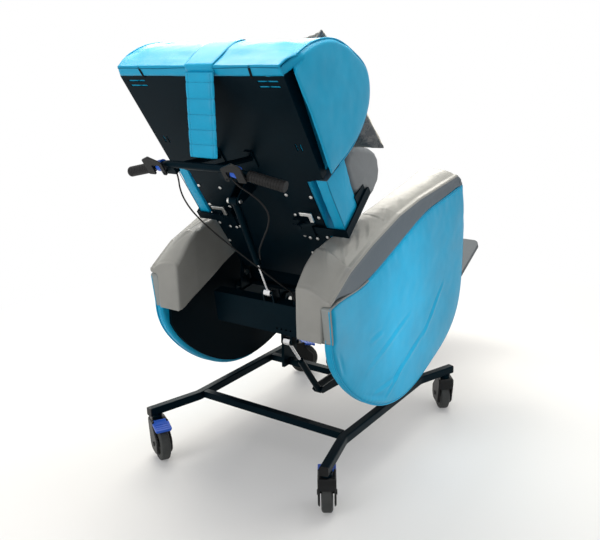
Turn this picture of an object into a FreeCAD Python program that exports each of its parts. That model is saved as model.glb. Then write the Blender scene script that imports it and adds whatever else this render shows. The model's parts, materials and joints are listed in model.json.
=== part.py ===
import FreeCAD, Part
import math
import os
from FreeCAD import Matrix, Vector

os.makedirs("parts", exist_ok=True)

# Care chair: a tilting, reclining chair on castors, in millimetres.
# +X is the occupant's left, +Y points behind the chair and +Z is up.
# Shapes are built as photographed: tilted back, leg rest partly raised.

# Overall driving dimensions
chair_half_width = 363.0
wheel_radius = 62.5
rail_top = 188.0
seat_tilt = 8.0
back_lean = 32.8
leg_drop = 34.0
foot_rise = 27.0

# General stock sizes and clearances
soft_gap = 0.4
running_gap = 0.05
joint_gap = 1.0
plate = 5.0
sheet = 3.0
overrun = 5.0
small_round = 6.0
big_round = 8.0
turn = 360.0

# Base frame: two bent rails and two crossbars in square tube
tube = 30.0
tube_wall = 2.5
tube_corner = 5.0
rail_x = 312.0
stem_x = 360.0
rear_stem_y = 470.0
front_stem_y = -384.0
rear_bend_y = 300.0
front_bend_y = -250.0
tube_tail = 27.0
bend_radius = 70.0
cap_thickness = 4.0
crossbar = 25.0
rear_crossbar_y = 278.0
front_crossbar_y = -138.0

# Tilt pivot on two posts that stand on the front crossbar
tilt_y = -138.0
tilt_z = 440.0
post_x = 213.0
post_thickness = 12.0
post_foot = 90.0
post_head = 28.0
tilt_bolt = 8.0
bracket_half_gap = 15.0
bracket_height = 42.0
bracket_lift = 4.0

# Castors
castor_trail = 38.0
wheel_width = 37.0
wheel_shoulder = 9.0
tread_rounds = (0, 3.0, 6.0, 6.0, 3.0, 0)
tread_depth = 10.0
fork_half_width = 29.0
fork_wall = 6.5
fork_top = 144.0
crown_radius = 25.0
axle_radius = 5.0
fork_cover = 42.0
fork_skirt = 34.0
fork_corner = 28.0
fork_bevel = 4.0
fork_neck_z = 126.0
fork_knee_z = 84.0
tread_clearance = 3.5
stem_radius = 6.0
collar_radius = 18.0
nut_radius = 9.5
nut_height = 6.0
pedal_pin_y = 30.0
pedal_pin_z = 140.0
pedal_pin_radius = 3.0
pedal_knuckle = 6.5
pedal_length = 56.0
pedal_width = 58.0
pedal_thickness = 7.0
pedal_lip = 7.0
pedal_slope = 11.0
rear_left_heading = 60.0
rear_right_heading = -147.0
front_left_heading = 141.0
front_right_heading = -141.0

# Seat unit, in its own tilted frame with its origin at the rail's rear top
seat_ref_y = 210.0
seat_ref_z = 540.0
seat_depth = 640.0
seat_rail_x = 231.0
seat_rail_width = 30.0
seat_rail_height = 50.0
seat_rail_wall = 3.0
board_thickness = 12.0
seat_cushion_thickness = 90.0
seat_cushion_half_width = 241.0
seat_cushion_rear = 135.0
seat_cushion_crown = 13.0
rear_beam_depth = 45.0
rear_beam_top = 45.0
rear_beam_bottom = 70.0
beam_hole_radius = 4.0
beam_hole_pitch = 19.0

# Back hinge and back shell, in a frame whose origin is the hinge
hinge_y = 112.0
hinge_z = 616.0
hinge_bolt = 7.0
hinge_ear = 20.0
hinge_behind_shell = 8.0
shell_top = 842.0
shell_step_top = 492.0
shell_step_bottom = 474.0
shell_foot = 25.0
shell_half_width = 303.0
shell_step_half_width = 296.0
shell_waist = 232.0
shell_foot_half_width = 222.0
flange_top = 46.0
flange_bottom = 22.0
louvre_length = 70.0
louvre_height = 6.0
louvre_x = 244.0
louvre_drop = 17.0
louvre_pitch = 17.0
slit_drop = 238.0
slit_length = 26.0
slit_width = 5.0
slit_x = 256.0
slit_half_pitch = 8.0

# Upholstery of the back
back_cushion_half_width = 243.0
back_cushion_depth = 105.0
back_cushion_top = 486.0
back_cushion_foot = 55.0
roll_crown = 14.0
head_rise = 24.0
head_half_width = 240.0
head_depth = 165.0
head_foot = 495.0
wing_reach = 338.0
wing_height = 376.0
wing_half_width = 326.0
wing_edge_inset = 14.0
wing_edge_depth = 12.0
pillow_half_width = 170.0
pillow_height = 190.0
pillow_depth = 85.0
pillow_drop = 40.0
pillow_clear = 8.0
band_thickness = 2.6
loose_half_side = 228.0
loose_half_depth = 62.0
loose_edge = 4.0
loose_x = -31.0
loose_up = 496.0
loose_forward = 354.1
loose_turn = 10.8
strap_x = -30.0
strap_width = 104.0
strap_thickness = 14.0
strap_length = 234.0
strap_pockets = 6
strap_channel = 4.0
strap_clear = 6.0

# Push bar, grips and release levers
bar_radius = 11.0
bar_behind = 150.0
bar_drop = 200.0
bar_end_drop = 246.0
bar_bend_x = 112.0
bar_tip_x = 292.0
bar_stay_x = 62.0
bar_stay_drop = 292.0
bar_bend_radius = 45.0
grip_radius = 16.0
grip_length = 112.0
grip_ribs = 12
collar_outer = 17.0
collar_length = 19.0
collar_bar_x = 151.0
lever_width = 14.0
fin_near = 158.0
fin_far = 186.0
fin_above = 40.0
fin_below = 26.0
lever_thickness = 5.0
lever_pin = 3.0

# Lateral supports
receiver_x = 158.0
receiver_width = 64.0
receiver_height = 50.0
receiver_depth = 14.0
lateral_level = 277.0
lateral_bar_height = 30.0
lateral_bar = 5.0
lateral_arm_x = 308.0
lateral_arm_reach = 165.0
lateral_arm_rise = 30.0
lateral_inner_x = 264.0
left_lateral_in = 18.0
lateral_outer_x = 302.0
lateral_top = 474.0
lateral_foot = 284.0
lateral_reach = 325.0
lateral_nose = 60.0
lateral_nose_rise = 55.0
clamp_radius = 11.0
clamp_width = 12.0
clamp_stand = 15.0
clamp_level = 310.0

# Gas springs
spring_pin = 5.0
spring_rod = 5.0
spring_tube = 11.5
spring_bore = 7.5
spring_eye = 13.0
spring_end_wall = 12.0
spring_guide = 16.0
spring_lug = 5.0
spring_lug_gap = 1.0
open_eye_gap = 3.2
tilt_spring_x = -56.0
tilt_spring_low_y = 55.0
tilt_spring_low_z = 192.0
tilt_spring_high_y = 235.0
tilt_spring_high_z = 440.0
tilt_tube_share = 0.62
recline_low_y = 262.0
recline_low_z = 612.0
recline_high_y = 415.0
recline_high_z = 950.0
recline_tube_share = 0.66
rod_seat_share = 0.55

# Arms: outline at the outer face, from its rear end and its lowest point
arm_rear_y = 446.0
arm_length = 957.0
arm_low_z = 209.0
arm_height = 718.0
panel_thickness = 32.0
panel_crown = 8.0
panel_edge_inset = 9.0
side_board_thickness = 11.0
side_board_gap = 0.6
pad_width = 113.0
pad_shoulder = 14.0
pad_lip = 14.0
bracket_width = 40.0
bracket_plate = 5.0
bracket_drop = 100.0

# Leg rest and foot board
leg_pivot_ahead = 13.0
leg_pivot_y = seat_ref_y - seat_depth - leg_pivot_ahead
leg_pivot_z = 596.0
leg_length = 340.0
leg_half_width = 232.0
leg_frame_x = 190.0
leg_bar_width = 30.0
leg_bar_height = 16.0
leg_pad_thickness = 58.0
leg_pad_start = 34.0
leg_pad_end = leg_length - 22.0
leg_bolt = 6.0
leg_knuckle = 13.0
foot_length = 300.0
foot_half_width = 240.0
foot_thickness = 18.0
foot_start = 18.0
foot_corner = 30.0

# Fasteners
screw_radius = 6.0
screw_height = 3.5

nodes = {}


def add(name, *solids):
    # Put one or more solids into the named node
    nodes.setdefault(name, []).extend(solids)


def block(x0, x1, y0, y1, z0, z1):
    size = Vector(abs(x1 - x0), abs(y1 - y0), abs(z1 - z0))
    corner = Vector(min(x0, x1), min(y0, y1), min(z0, z1))
    return Part.makeBox(size.x, size.y, size.z, corner)


def round_bar(start, end, radius):
    run = end - start
    return Part.makeCylinder(radius, run.Length, start, run)


def cross_bar(x0, x1, y, z, radius):
    # A round bar along X
    return round_bar(Vector(min(x0, x1), y, z), Vector(max(x0, x1), y, z), radius)


def rounded_edges(points, radii, closed):
    # Straight runs joined by tangent arcs at the corners
    count = len(points)
    edges = []
    joints = []
    for index, point in enumerate(points):
        if not closed and index in (0, count - 1):
            joints.append((point, None, point))
            continue
        back = (points[index - 1] - point).normalize()
        ahead = (points[(index + 1) % count] - point).normalize()
        half = back.getAngle(ahead) / 2
        radius = radii[index] if isinstance(radii, (list, tuple)) else radii
        if radius == 0:
            joints.append((point, None, point))
            continue
        reach = radius / math.tan(half)
        centre = point + (back + ahead).normalize() * (radius / math.sin(half))
        middle = centre + (point - centre).normalize() * radius
        joints.append((point + back * reach, middle, point + ahead * reach))
    for index, (entry, middle, leave) in enumerate(joints):
        if middle is not None:
            edges.append(Part.Arc(entry, middle, leave).toShape())
        if closed or index < count - 1:
            follow = joints[(index + 1) % count][0]
            edges.append(Part.LineSegment(leave, follow).toShape())
    return edges


def side_plate(outline, x0, x1, radii=0):
    # A plate whose outline lies in the YZ plane, between two X planes
    points = [Vector(min(x0, x1), y, z) for y, z in outline]
    face = Part.Face(Part.Wire(rounded_edges(points, radii, True)))
    return face.extrude(Vector(abs(x1 - x0), 0, 0))


def level_plate(outline, z0, z1, radii=0):
    points = [Vector(x, y, z0) for x, y in outline]
    face = Part.Face(Part.Wire(rounded_edges(points, radii, True)))
    return face.extrude(Vector(0, 0, z1 - z0))


def upright_plate(outline, y0, y1, radii=0):
    # A plate whose outline lies in the XZ plane, between two Y planes
    points = [Vector(x, y0, z) for x, z in outline]
    face = Part.Face(Part.Wire(rounded_edges(points, radii, True)))
    return face.extrude(Vector(0, y1 - y0, 0))


def sweep(path, profile):
    # A solid of one closed profile swept along a wire
    return Part.Wire(path).makePipeShell([profile], True, False)


def round_tube(points, radius, bend):
    path = rounded_edges(points, bend, False)
    circle = Part.makeCircle(radius, points[0], points[1] - points[0])
    return sweep(path, Part.Wire(circle))


def mirrored(solid):
    # The same piece on the other side of the chair
    return solid.mirror(Vector(0, 0, 0), Vector(1, 0, 0))


def seat_placed(solid):
    # From the seat frame to the chair frame
    moved = solid.copy()
    moved.rotate(Vector(0, 0, 0), Vector(1, 0, 0), -seat_tilt)
    moved.translate(Vector(0, seat_ref_y, seat_ref_z))
    return moved


def back_placed(solid):
    # From the back frame to the chair frame
    moved = solid.copy()
    moved.rotate(Vector(0, 0, 0), Vector(1, 0, 0), -back_lean)
    moved.translate(Vector(0, hinge_y, hinge_z))
    return moved


def leg_placed(solid):
    # From the leg rest frame, whose -Y runs down the leg, to the chair frame
    moved = solid.copy()
    moved.rotate(Vector(0, 0, 0), Vector(1, 0, 0), leg_drop)
    moved.translate(Vector(0, leg_pivot_y, leg_pivot_z))
    return moved


def seat_point(y, z):
    # Where a point of the chair lies in the seat frame
    lean = math.radians(seat_tilt)
    run = y - seat_ref_y
    rise = z - seat_ref_z
    along = run * math.cos(lean) - rise * math.sin(lean)
    above = run * math.sin(lean) + rise * math.cos(lean)
    return along, above


def back_point(y, z):
    # Where a point of the chair lies in the back frame
    lean = math.radians(back_lean)
    run = y - hinge_y
    rise = z - hinge_z
    behind = run * math.cos(lean) - rise * math.sin(lean)
    up = run * math.sin(lean) + rise * math.cos(lean)
    return behind, up


shell_rear = -hinge_behind_shell
shell_front = shell_rear - sheet
cushion_rear = shell_front - soft_gap


def base_rail():
    # One side rail with its rear and front ends bent out to the castors
    height = rail_top - tube / 2
    points = []
    for x, y in ((stem_x, rear_stem_y), (rail_x, rear_bend_y), (rail_x, front_bend_y),
                 (stem_x, front_stem_y)):
        points.append(Vector(x, y, height))
    rear_run = (points[0] - points[1]).normalize()
    front_run = (points[3] - points[2]).normalize()
    points[0] = points[0] + rear_run * tube_tail
    points[3] = points[3] + front_run * tube_tail
    solids = []
    for inset in (0, tube_wall):
        half = tube / 2 - inset
        across = Vector(rear_run.y, -rear_run.x, 0)
        start = points[0] + rear_run * inset
        corners = []
        for side, up in ((-1, -1), (1, -1), (1, 1), (-1, 1)):
            corners.append(start + across * (side * half) + Vector(0, 0, up * half))
        profile = Part.Wire(rounded_edges(corners, tube_corner - inset, True))
        route = [start, points[1], points[2], points[3] + front_run * inset]
        solids.append(sweep(rounded_edges(route, bend_radius, False), profile))
    rail = solids[0].cut(solids[1])
    for y in (rear_stem_y, front_stem_y):
        hole = Part.makeCylinder(stem_radius + running_gap, tube / 2 + overrun,
                                 Vector(stem_x, y, rail_top - tube - overrun))
        rail = rail.cut(hole)
    return rail, points, rear_run, front_run


def end_cap(point, outward):
    # A moulded cap on the open end of a rail
    across = Vector(outward.y, -outward.x, 0)
    corners = []
    for side, up in ((-1, -1), (1, -1), (1, 1), (-1, 1)):
        corners.append(point + across * (side * tube / 2) + Vector(0, 0, up * tube / 2))
    face = Part.Face(Part.Wire(rounded_edges(corners, tube_corner, True)))
    return face.extrude(outward * cap_thickness)


def castor_socket(y):
    # Collar under the rail and stem through it, held by a nut inside the tube
    collar = Part.makeCylinder(collar_radius, rail_top - tube - fork_top - soft_gap,
                               Vector(stem_x, y, fork_top + soft_gap))
    foot = fork_top - crown_radius / 2
    inside = rail_top - tube + tube_wall + running_gap
    stem = Part.makeCylinder(stem_radius, inside + nut_height * 1.5 - foot,
                             Vector(stem_x, y, foot))
    nut = Part.makeCylinder(nut_radius, nut_height, Vector(stem_x, y, inside))
    return collar.fuse(stem).fuse(nut)


def tilt_post():
    # Upright plate that straddles the front crossbar and carries the seat
    low = rail_top - crossbar
    foot = post_foot / 2
    outline = [(tilt_y - foot, low), (tilt_y + foot, low), (tilt_y + foot, rail_top + tube),
               (tilt_y + post_head, tilt_z), (tilt_y + post_head * 0.72, tilt_z + post_head),
               (tilt_y - post_head * 0.72, tilt_z + post_head), (tilt_y - post_head, tilt_z),
               (tilt_y - foot, rail_top + tube)]
    post = side_plate(outline, post_x - post_thickness / 2, post_x + post_thickness / 2)
    notch = block(0, chair_half_width, front_crossbar_y - crossbar / 2,
                  front_crossbar_y + crossbar / 2, low - overrun, rail_top)
    bore = cross_bar(0, chair_half_width, tilt_y, tilt_z, tilt_bolt + running_gap)
    return post.cut(notch).cut(bore)


def build_base():
    rail, points, rear_run, front_run = base_rail()
    add("base_rails", rail, mirrored(rail))
    caps = [end_cap(points[0], rear_run), end_cap(points[3], front_run)]
    add("rail_end_caps", *caps, *[mirrored(cap) for cap in caps])
    reach = rail_x - tube / 2
    low = rail_top - crossbar
    rear = block(-reach, reach, rear_crossbar_y - crossbar / 2,
                 rear_crossbar_y + crossbar / 2, low, rail_top)
    front = block(-reach, reach, front_crossbar_y - crossbar / 2,
                  front_crossbar_y + crossbar / 2, low, rail_top)
    add("rear_crossbar", rear)
    front = front.fuse(spring_bracket(1)).fuse(spring_bracket(-1))
    add("front_crossbar", front)
    for y in (rear_stem_y, front_stem_y):
        socket = castor_socket(y)
        add("castor_sockets", socket, mirrored(socket))
    post = tilt_post()
    add("tilt_posts", post, mirrored(post))


def spring_bracket(side):
    # One of two plates on the front crossbar that hold the tilt spring
    x0 = tilt_spring_x + side * bracket_half_gap
    front = front_crossbar_y + crossbar / 2
    low = rail_top - crossbar + bracket_lift
    high = low + bracket_height
    outline = [(front, low), (tilt_spring_low_y, tilt_spring_low_z - spring_eye),
               (tilt_spring_low_y + spring_eye, tilt_spring_low_z),
               (tilt_spring_low_y, tilt_spring_low_z + spring_eye), (front, high)]
    arm = side_plate(outline, x0, x0 + side * plate)
    return arm.fuse(cross_bar(tilt_spring_x, x0, tilt_spring_low_y, tilt_spring_low_z,
                              spring_pin))


def fork_wire(x, inset):
    # Side outline of the hood, drawn in by an inset towards its middle
    crown = fork_top - crown_radius * 0.8
    back = pedal_pin_y + pedal_knuckle
    outline = [(-crown_radius, crown), (-crown_radius, fork_top), (crown_radius, fork_top),
               (back, fork_top + pedal_knuckle / 2), (back, fork_neck_z),
               (castor_trail + fork_cover, fork_knee_z),
               (castor_trail + fork_cover, wheel_radius - fork_skirt),
               (castor_trail - fork_cover, wheel_radius - fork_skirt)]
    radii = [crown_radius / 3, crown_radius / 4, 0, pedal_knuckle / 3, 0, fork_corner * 0.7,
             fork_corner, fork_corner]
    middle_y = castor_trail - crown_radius / 2
    middle_z = wheel_radius + crown_radius
    shrink = 1 - inset / (fork_top / 2 - crown_radius / 2)
    points = [Vector(x, middle_y + (y - middle_y) * shrink, middle_z + (z - middle_z) * shrink)
              for y, z in outline]
    return Part.Wire(rounded_edges(points, [radius * shrink for radius in radii], True))


def fork():
    # Hooded fork with its axle, trailing along +Y below the stem
    flat = fork_half_width - fork_bevel
    body = Part.makeLoft([fork_wire(-fork_half_width, fork_bevel), fork_wire(-flat, 0),
                          fork_wire(flat, 0), fork_wire(fork_half_width, fork_bevel)],
                         True, True)
    inner = fork_half_width - fork_wall
    wheel_room = cross_bar(-inner, inner, castor_trail, wheel_radius,
                           wheel_radius + tread_clearance)
    rear_room = block(-inner, inner, crown_radius * 0.9, pedal_length * 2, 0,
                      fork_top * 2)
    low_room = block(-inner, inner, -crown_radius * 2, pedal_length, 0,
                     wheel_radius * 1.6)
    body = body.cut(wheel_room).cut(rear_room).cut(low_room)
    bore = Part.makeCylinder(stem_radius + running_gap, crown_radius,
                             Vector(0, 0, fork_top - crown_radius / 2 - joint_gap))
    pin = cross_bar(-inner, inner, pedal_pin_y, pedal_pin_z, pedal_pin_radius)
    axle_bore = cross_bar(-fork_half_width, fork_half_width, castor_trail, wheel_radius,
                          axle_radius)
    body = body.cut(bore).fuse(pin).cut(axle_bore)
    axle = cross_bar(-fork_half_width, fork_half_width, castor_trail, wheel_radius,
                     axle_radius - running_gap)
    for side in (-1, 1):
        head = cross_bar(side * (fork_half_width + running_gap),
                         side * (fork_half_width + sheet), castor_trail, wheel_radius,
                         axle_radius * 1.7)
        stub = cross_bar(side * (fork_half_width - running_gap),
                         side * (fork_half_width + sheet), castor_trail, wheel_radius,
                         axle_radius - running_gap)
        axle = axle.fuse(head).fuse(stub)
    return body, axle


def wheel():
    # Tread ring on a dished centre, turning on the axle
    half = wheel_width / 2
    shoulder = wheel_radius - wheel_shoulder
    inner = wheel_radius - tread_depth
    rim = inner - tread_depth
    profile = [Vector(-half, inner, 0), Vector(-half, shoulder, 0),
               Vector(-half + wheel_shoulder / 2, wheel_radius, 0),
               Vector(half - wheel_shoulder / 2, wheel_radius, 0),
               Vector(half, shoulder, 0), Vector(half, inner, 0)]
    ring = Part.Face(Part.Wire(rounded_edges(profile, tread_rounds, True)))
    tread = ring.revolve(Vector(0, 0, 0), Vector(1, 0, 0), turn)
    web = half * 0.45
    hub = axle_radius * 2.6
    bore = axle_radius + running_gap
    centre_points = [(-half, bore), (-half, hub), (-web, hub + sheet), (-web, rim - sheet),
                     (-half * 0.9, rim), (-half * 0.9, inner), (half * 0.9, inner),
                     (half * 0.9, rim), (web, rim - sheet), (web, hub + sheet),
                     (half, hub), (half, bore)]
    profile = [Vector(x, r, 0) for x, r in centre_points]
    disc = Part.Face(Part.Wire(rounded_edges(profile, 0, True)))
    centre = disc.revolve(Vector(0, 0, 0), Vector(1, 0, 0), turn)
    for solid in (tread, centre):
        solid.translate(Vector(0, castor_trail, wheel_radius))
    return tread, centre


def pedal():
    # Brake pedal on the fork's rear pin, shown released
    inner = fork_half_width - fork_wall - joint_gap
    knuckle = cross_bar(-inner, inner, pedal_pin_y, pedal_pin_z, pedal_knuckle)
    half = pedal_thickness / 2
    near = pedal_knuckle + joint_gap * 4
    neck = block(-inner, inner, 0, near + overrun, -half, half)
    outline = [(-pedal_width / 2, near), (pedal_width / 2, near),
               (pedal_width / 2, pedal_length), (-pedal_width / 2, pedal_length)]
    radii = [0, 0, pedal_lip / 2, pedal_lip / 2]
    tongue = level_plate(outline, -half, half, radii)
    lip = block(-pedal_width / 2 + pedal_lip / 2, pedal_width / 2 - pedal_lip / 2,
                pedal_length - pedal_thickness, pedal_length, -pedal_lip, 0)
    arm = neck.fuse(tongue).fuse(lip)
    for step in (1, 2, 3):
        rib_y = near + step * (pedal_length - near) / 4
        rib = block(-pedal_width / 2 + pedal_lip / 2, pedal_width / 2 - pedal_lip / 2,
                    rib_y, rib_y + sheet, half, half + sheet / 2)
        arm = arm.fuse(rib)
    arm.rotate(Vector(0, 0, 0), Vector(1, 0, 0), -pedal_slope)
    arm.translate(Vector(0, pedal_pin_y, pedal_pin_z))
    bore = cross_bar(-inner - overrun, inner + overrun, pedal_pin_y, pedal_pin_z,
                     pedal_pin_radius + running_gap)
    return knuckle.fuse(arm).cut(bore)


def build_castors():
    corners = (("rear_left", stem_x, rear_stem_y, rear_left_heading),
               ("rear_right", -stem_x, rear_stem_y, rear_right_heading),
               ("front_left", stem_x, front_stem_y, front_left_heading),
               ("front_right", -stem_x, front_stem_y, front_right_heading))
    for corner, x, y, heading in corners:
        housing, axle = fork()
        tread, centre = wheel()
        groups = (("fork", [housing, axle]), ("wheel", [tread, centre]),
                  ("brake_pedal", [pedal()]))
        for piece, solids in groups:
            for solid in solids:
                solid.rotate(Vector(0, 0, 0), Vector(0, 0, 1), heading)
                solid.translate(Vector(x, y, 0))
            add(corner + "_" + piece, *solids)


def build_seat_frame():
    # Side rails, cross members, hinge ears and tilt lugs of the seat
    half = seat_rail_width / 2
    frame = None
    low = -seat_rail_height
    for side in (1, -1):
        x = side * seat_rail_x
        rail = block(x - half, x + half, -seat_depth, 0, low, 0)
        hollow = block(x - half + seat_rail_wall, x + half - seat_rail_wall,
                       -seat_depth + seat_rail_wall, -seat_rail_wall,
                       low + seat_rail_wall, -seat_rail_wall)
        frame = rail.cut(hollow) if frame is None else frame.fuse(rail.cut(hollow))
    reach = seat_rail_x - half
    for y in (-seat_depth, -seat_depth * 0.45, -seat_rail_width):
        bar = block(-reach, reach, y, y + seat_rail_width, low, low + seat_rail_width)
        frame = frame.fuse(bar)
    hinge_along, hinge_above = seat_point(hinge_y, hinge_z)
    ear_x = shell_foot_half_width + joint_gap
    ear_outline = [(hinge_along - hinge_ear * 1.25, 0), (hinge_along - hinge_ear, hinge_above),
                   (hinge_along - hinge_ear * 0.7, hinge_above + hinge_ear),
                   (hinge_along + hinge_ear * 0.7, hinge_above + hinge_ear),
                   (hinge_along + hinge_ear, hinge_above), (hinge_along + hinge_ear * 1.6, 0)]
    radii = [0, 0, hinge_ear / 3, hinge_ear / 3, 0, 0]
    ear = side_plate(ear_outline, ear_x, ear_x + plate, radii)
    ear = ear.cut(cross_bar(0, chair_half_width, hinge_along, hinge_above,
                            hinge_bolt + running_gap))
    pivot_along, pivot_above = seat_point(tilt_y, tilt_z)
    lug_x = post_x + post_thickness / 2 + joint_gap
    lug_outline = [(pivot_along - post_head * 1.5, low), (pivot_along - post_head, pivot_above),
                   (pivot_along - post_head * 0.6, pivot_above - post_head),
                   (pivot_along + post_head * 0.6, pivot_above - post_head),
                   (pivot_along + post_head, pivot_above), (pivot_along + post_head * 1.5, low)]
    lug = side_plate(lug_outline, lug_x, lug_x + plate * 1.6,
                     [0, 0, big_round, big_round, 0, 0])
    lug = lug.cut(cross_bar(0, chair_half_width, pivot_along, pivot_above,
                            tilt_bolt + running_gap))
    leg_along, leg_above = seat_point(leg_pivot_y, leg_pivot_z)
    knee_x = leg_frame_x + leg_bar_width / 2 + joint_gap
    knee_outline = [(-seat_depth + seat_rail_width, low), (-seat_depth + seat_rail_width, low / 3),
                    (leg_along - leg_knuckle, leg_above + leg_knuckle),
                    (leg_along - leg_knuckle, leg_above - leg_knuckle)]
    knee = side_plate(knee_outline, knee_x, knee_x + plate, [0, 0, small_round, small_round])
    knee = knee.cut(cross_bar(0, chair_half_width, leg_along, leg_above,
                              leg_bolt + running_gap))
    for extra in (ear, lug, knee):
        frame = frame.fuse(extra).fuse(mirrored(extra))
    add("seat_frame", seat_placed(frame))


def build_rear_beam():
    # Folded channel across the rear of the seat, open towards the front
    reach = seat_rail_x + seat_rail_width / 2
    beam = block(-reach, reach, joint_gap, rear_beam_depth, -rear_beam_bottom, rear_beam_top)
    hollow = block(-reach + sheet, reach - sheet, -overrun, rear_beam_depth - sheet,
                   -rear_beam_bottom + sheet, rear_beam_top - sheet)
    beam = beam.cut(hollow)
    foot = block(-reach, reach, 0, joint_gap * 2, -seat_rail_height, 0)
    slot_room = block(-seat_rail_x + seat_rail_width / 2, seat_rail_x - seat_rail_width / 2,
                      -overrun, overrun, -rear_beam_bottom, overrun)
    beam = beam.fuse(foot.cut(slot_room))
    for index in range(4):
        x = -beam_hole_pitch * (index + 1)
        hole = round_bar(Vector(x, 0, -rear_beam_bottom * 0.72),
                         Vector(x, rear_beam_depth * 2, -rear_beam_bottom * 0.72),
                         beam_hole_radius)
        beam = beam.cut(hole)
    low_along, low_above = seat_point(recline_low_y, recline_low_z)
    lug_outline = [(low_along - spring_eye * 1.6, rear_beam_top - sheet),
                   (low_along - spring_eye, low_above + spring_eye * 0.7),
                   (low_along + spring_eye * 0.8, low_above + spring_eye * 0.7),
                   (rear_beam_depth, rear_beam_top - sheet)]
    lug_x = spring_eye + open_eye_gap + spring_lug_gap
    lug = side_plate(lug_outline, lug_x, lug_x + spring_lug, [0, small_round, small_round, 0])
    beam = beam.fuse(lug).fuse(mirrored(lug))
    beam = beam.fuse(cross_bar(-lug_x, lug_x, low_along, low_above, spring_pin))
    high_along, high_above = seat_point(tilt_spring_high_y, tilt_spring_high_z)
    hang = [(high_along - spring_eye * 1.8, -rear_beam_bottom + sheet),
            (high_along - spring_eye, high_above - spring_eye * 0.7),
            (high_along + spring_eye, high_above - spring_eye * 0.7),
            (min(high_along + spring_eye * 1.8, rear_beam_depth), -rear_beam_bottom + sheet)]
    for side in (-1, 1):
        x0 = tilt_spring_x + side * lug_x
        beam = beam.fuse(side_plate(hang, x0, x0 + side * spring_lug,
                                    [0, small_round, small_round, 0]))
    beam = beam.fuse(cross_bar(tilt_spring_x - lug_x, tilt_spring_x + lug_x, high_along,
                               high_above, spring_pin))
    add("seat_rear_beam", seat_placed(beam))


def seat_section(along, half_width, top):
    # One slice of the seat cushion with a crowned top
    low = board_thickness + soft_gap
    side_top = top - seat_cushion_crown * 1.6
    shoulder = half_width - seat_cushion_crown * 2.2
    a = Vector(-half_width + seat_cushion_crown / 2, along, low)
    b = Vector(half_width - seat_cushion_crown / 2, along, low)
    c = Vector(half_width, along, side_top)
    d = Vector(shoulder, along, top - seat_cushion_crown / 3)
    middle = Vector(0, along, top + seat_cushion_crown)
    e = Vector(-shoulder, along, top - seat_cushion_crown / 3)
    f = Vector(-half_width, along, side_top)
    side_mid = Vector(half_width, along, (low + side_top) / 2)
    shoulder_mid = Vector((c.x * 2 + d.x) / 3, along, (c.z + d.z * 2) / 3)
    other_mid = Vector(-shoulder_mid.x, along, shoulder_mid.z)
    edges = [Part.LineSegment(a, b).toShape(),
             Part.Arc(b, side_mid, c).toShape(),
             Part.Arc(c, shoulder_mid, d).toShape(),
             Part.Arc(d, middle, e).toShape(),
             Part.Arc(e, other_mid, f).toShape(),
             Part.Arc(f, Vector(-side_mid.x, along, side_mid.z), a).toShape()]
    return Part.Wire(edges)


def build_seat():
    build_seat_frame()
    build_rear_beam()
    reach = seat_rail_x + seat_rail_width / 2 - plate - joint_gap
    board = block(-reach, reach, -seat_depth, -seat_cushion_rear, 0, board_thickness)
    add("seat_board", seat_placed(board))
    top = board_thickness + seat_cushion_thickness
    front = -seat_depth - joint_gap * 4
    rear = -seat_cushion_rear - joint_gap
    half = seat_cushion_half_width
    sections = []
    stations = ((0, 0.975, 0.78), (0.04, 1, 0.95), (0.3, 0.996, 1), (0.72, 0.996, 1),
                (0.96, 1, 0.96), (1, 0.98, 0.8))
    for along_share, width_share, top_share in stations:
        sections.append(seat_section(front + (rear - front) * along_share,
                                     half * width_share, top * top_share))
    add("seat_cushion", seat_placed(Part.makeLoft(sections, True, False)))


def arm_yz(along_share, up_share):
    return arm_rear_y - arm_length * along_share, arm_low_z + arm_height * up_share


ridge_shares = ((0, 0.656), (0.0575, 0.695), (0.156, 0.767), (0.239, 0.82), (0.326, 0.869),
                (0.417, 0.905), (0.553, 0.935), (0.754, 0.969), (0.933, 1), (0.992, 0.965))
inner_rise_shares = (0.064, 0.088, 0.088, 0.06, 0.042, 0.026, 0.026, 0.029, 0.027, 0.02)
seam_shares = ((0, 0.64), (0.088, 0.66), (0.1755, 0.6685), (0.295, 0.712), (0.377, 0.7535),
               (0.485, 0.806), (0.599, 0.862), (0.764, 0.907), (0.973, 0.953))
belly_shares = ((1, 0.719), (0.998, 0.5), (0.95, 0.251), (0.874, 0.159), (0.739, 0.078),
                (0.589, 0.014), (0.5, 0), (0.38, 0.018), (0.266, 0.078), (0.155, 0.177),
                (0.083, 0.27), (0.029, 0.379), (0.012, 0.5))
pad_floor_shares = ((0, 0.482), (0.156, 0.572), (0.326, 0.67), (0.553, 0.747), (0.754, 0.788),
                    (0.992, 0.824))


board_top_shares = ((0.03, 0.46), (0.156, 0.545), (0.326, 0.645), (0.553, 0.722), (0.754, 0.762),
                    (0.97, 0.79))


def along_line(table, share):
    # Height share on a line of points at the given share of the arm's length
    for (a0, u0), (a1, u1) in zip(table, table[1:]):
        if share <= a1:
            return u0 + (u1 - u0) * (share - a0) / (a1 - a0)
    return table[-1][1]


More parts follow.
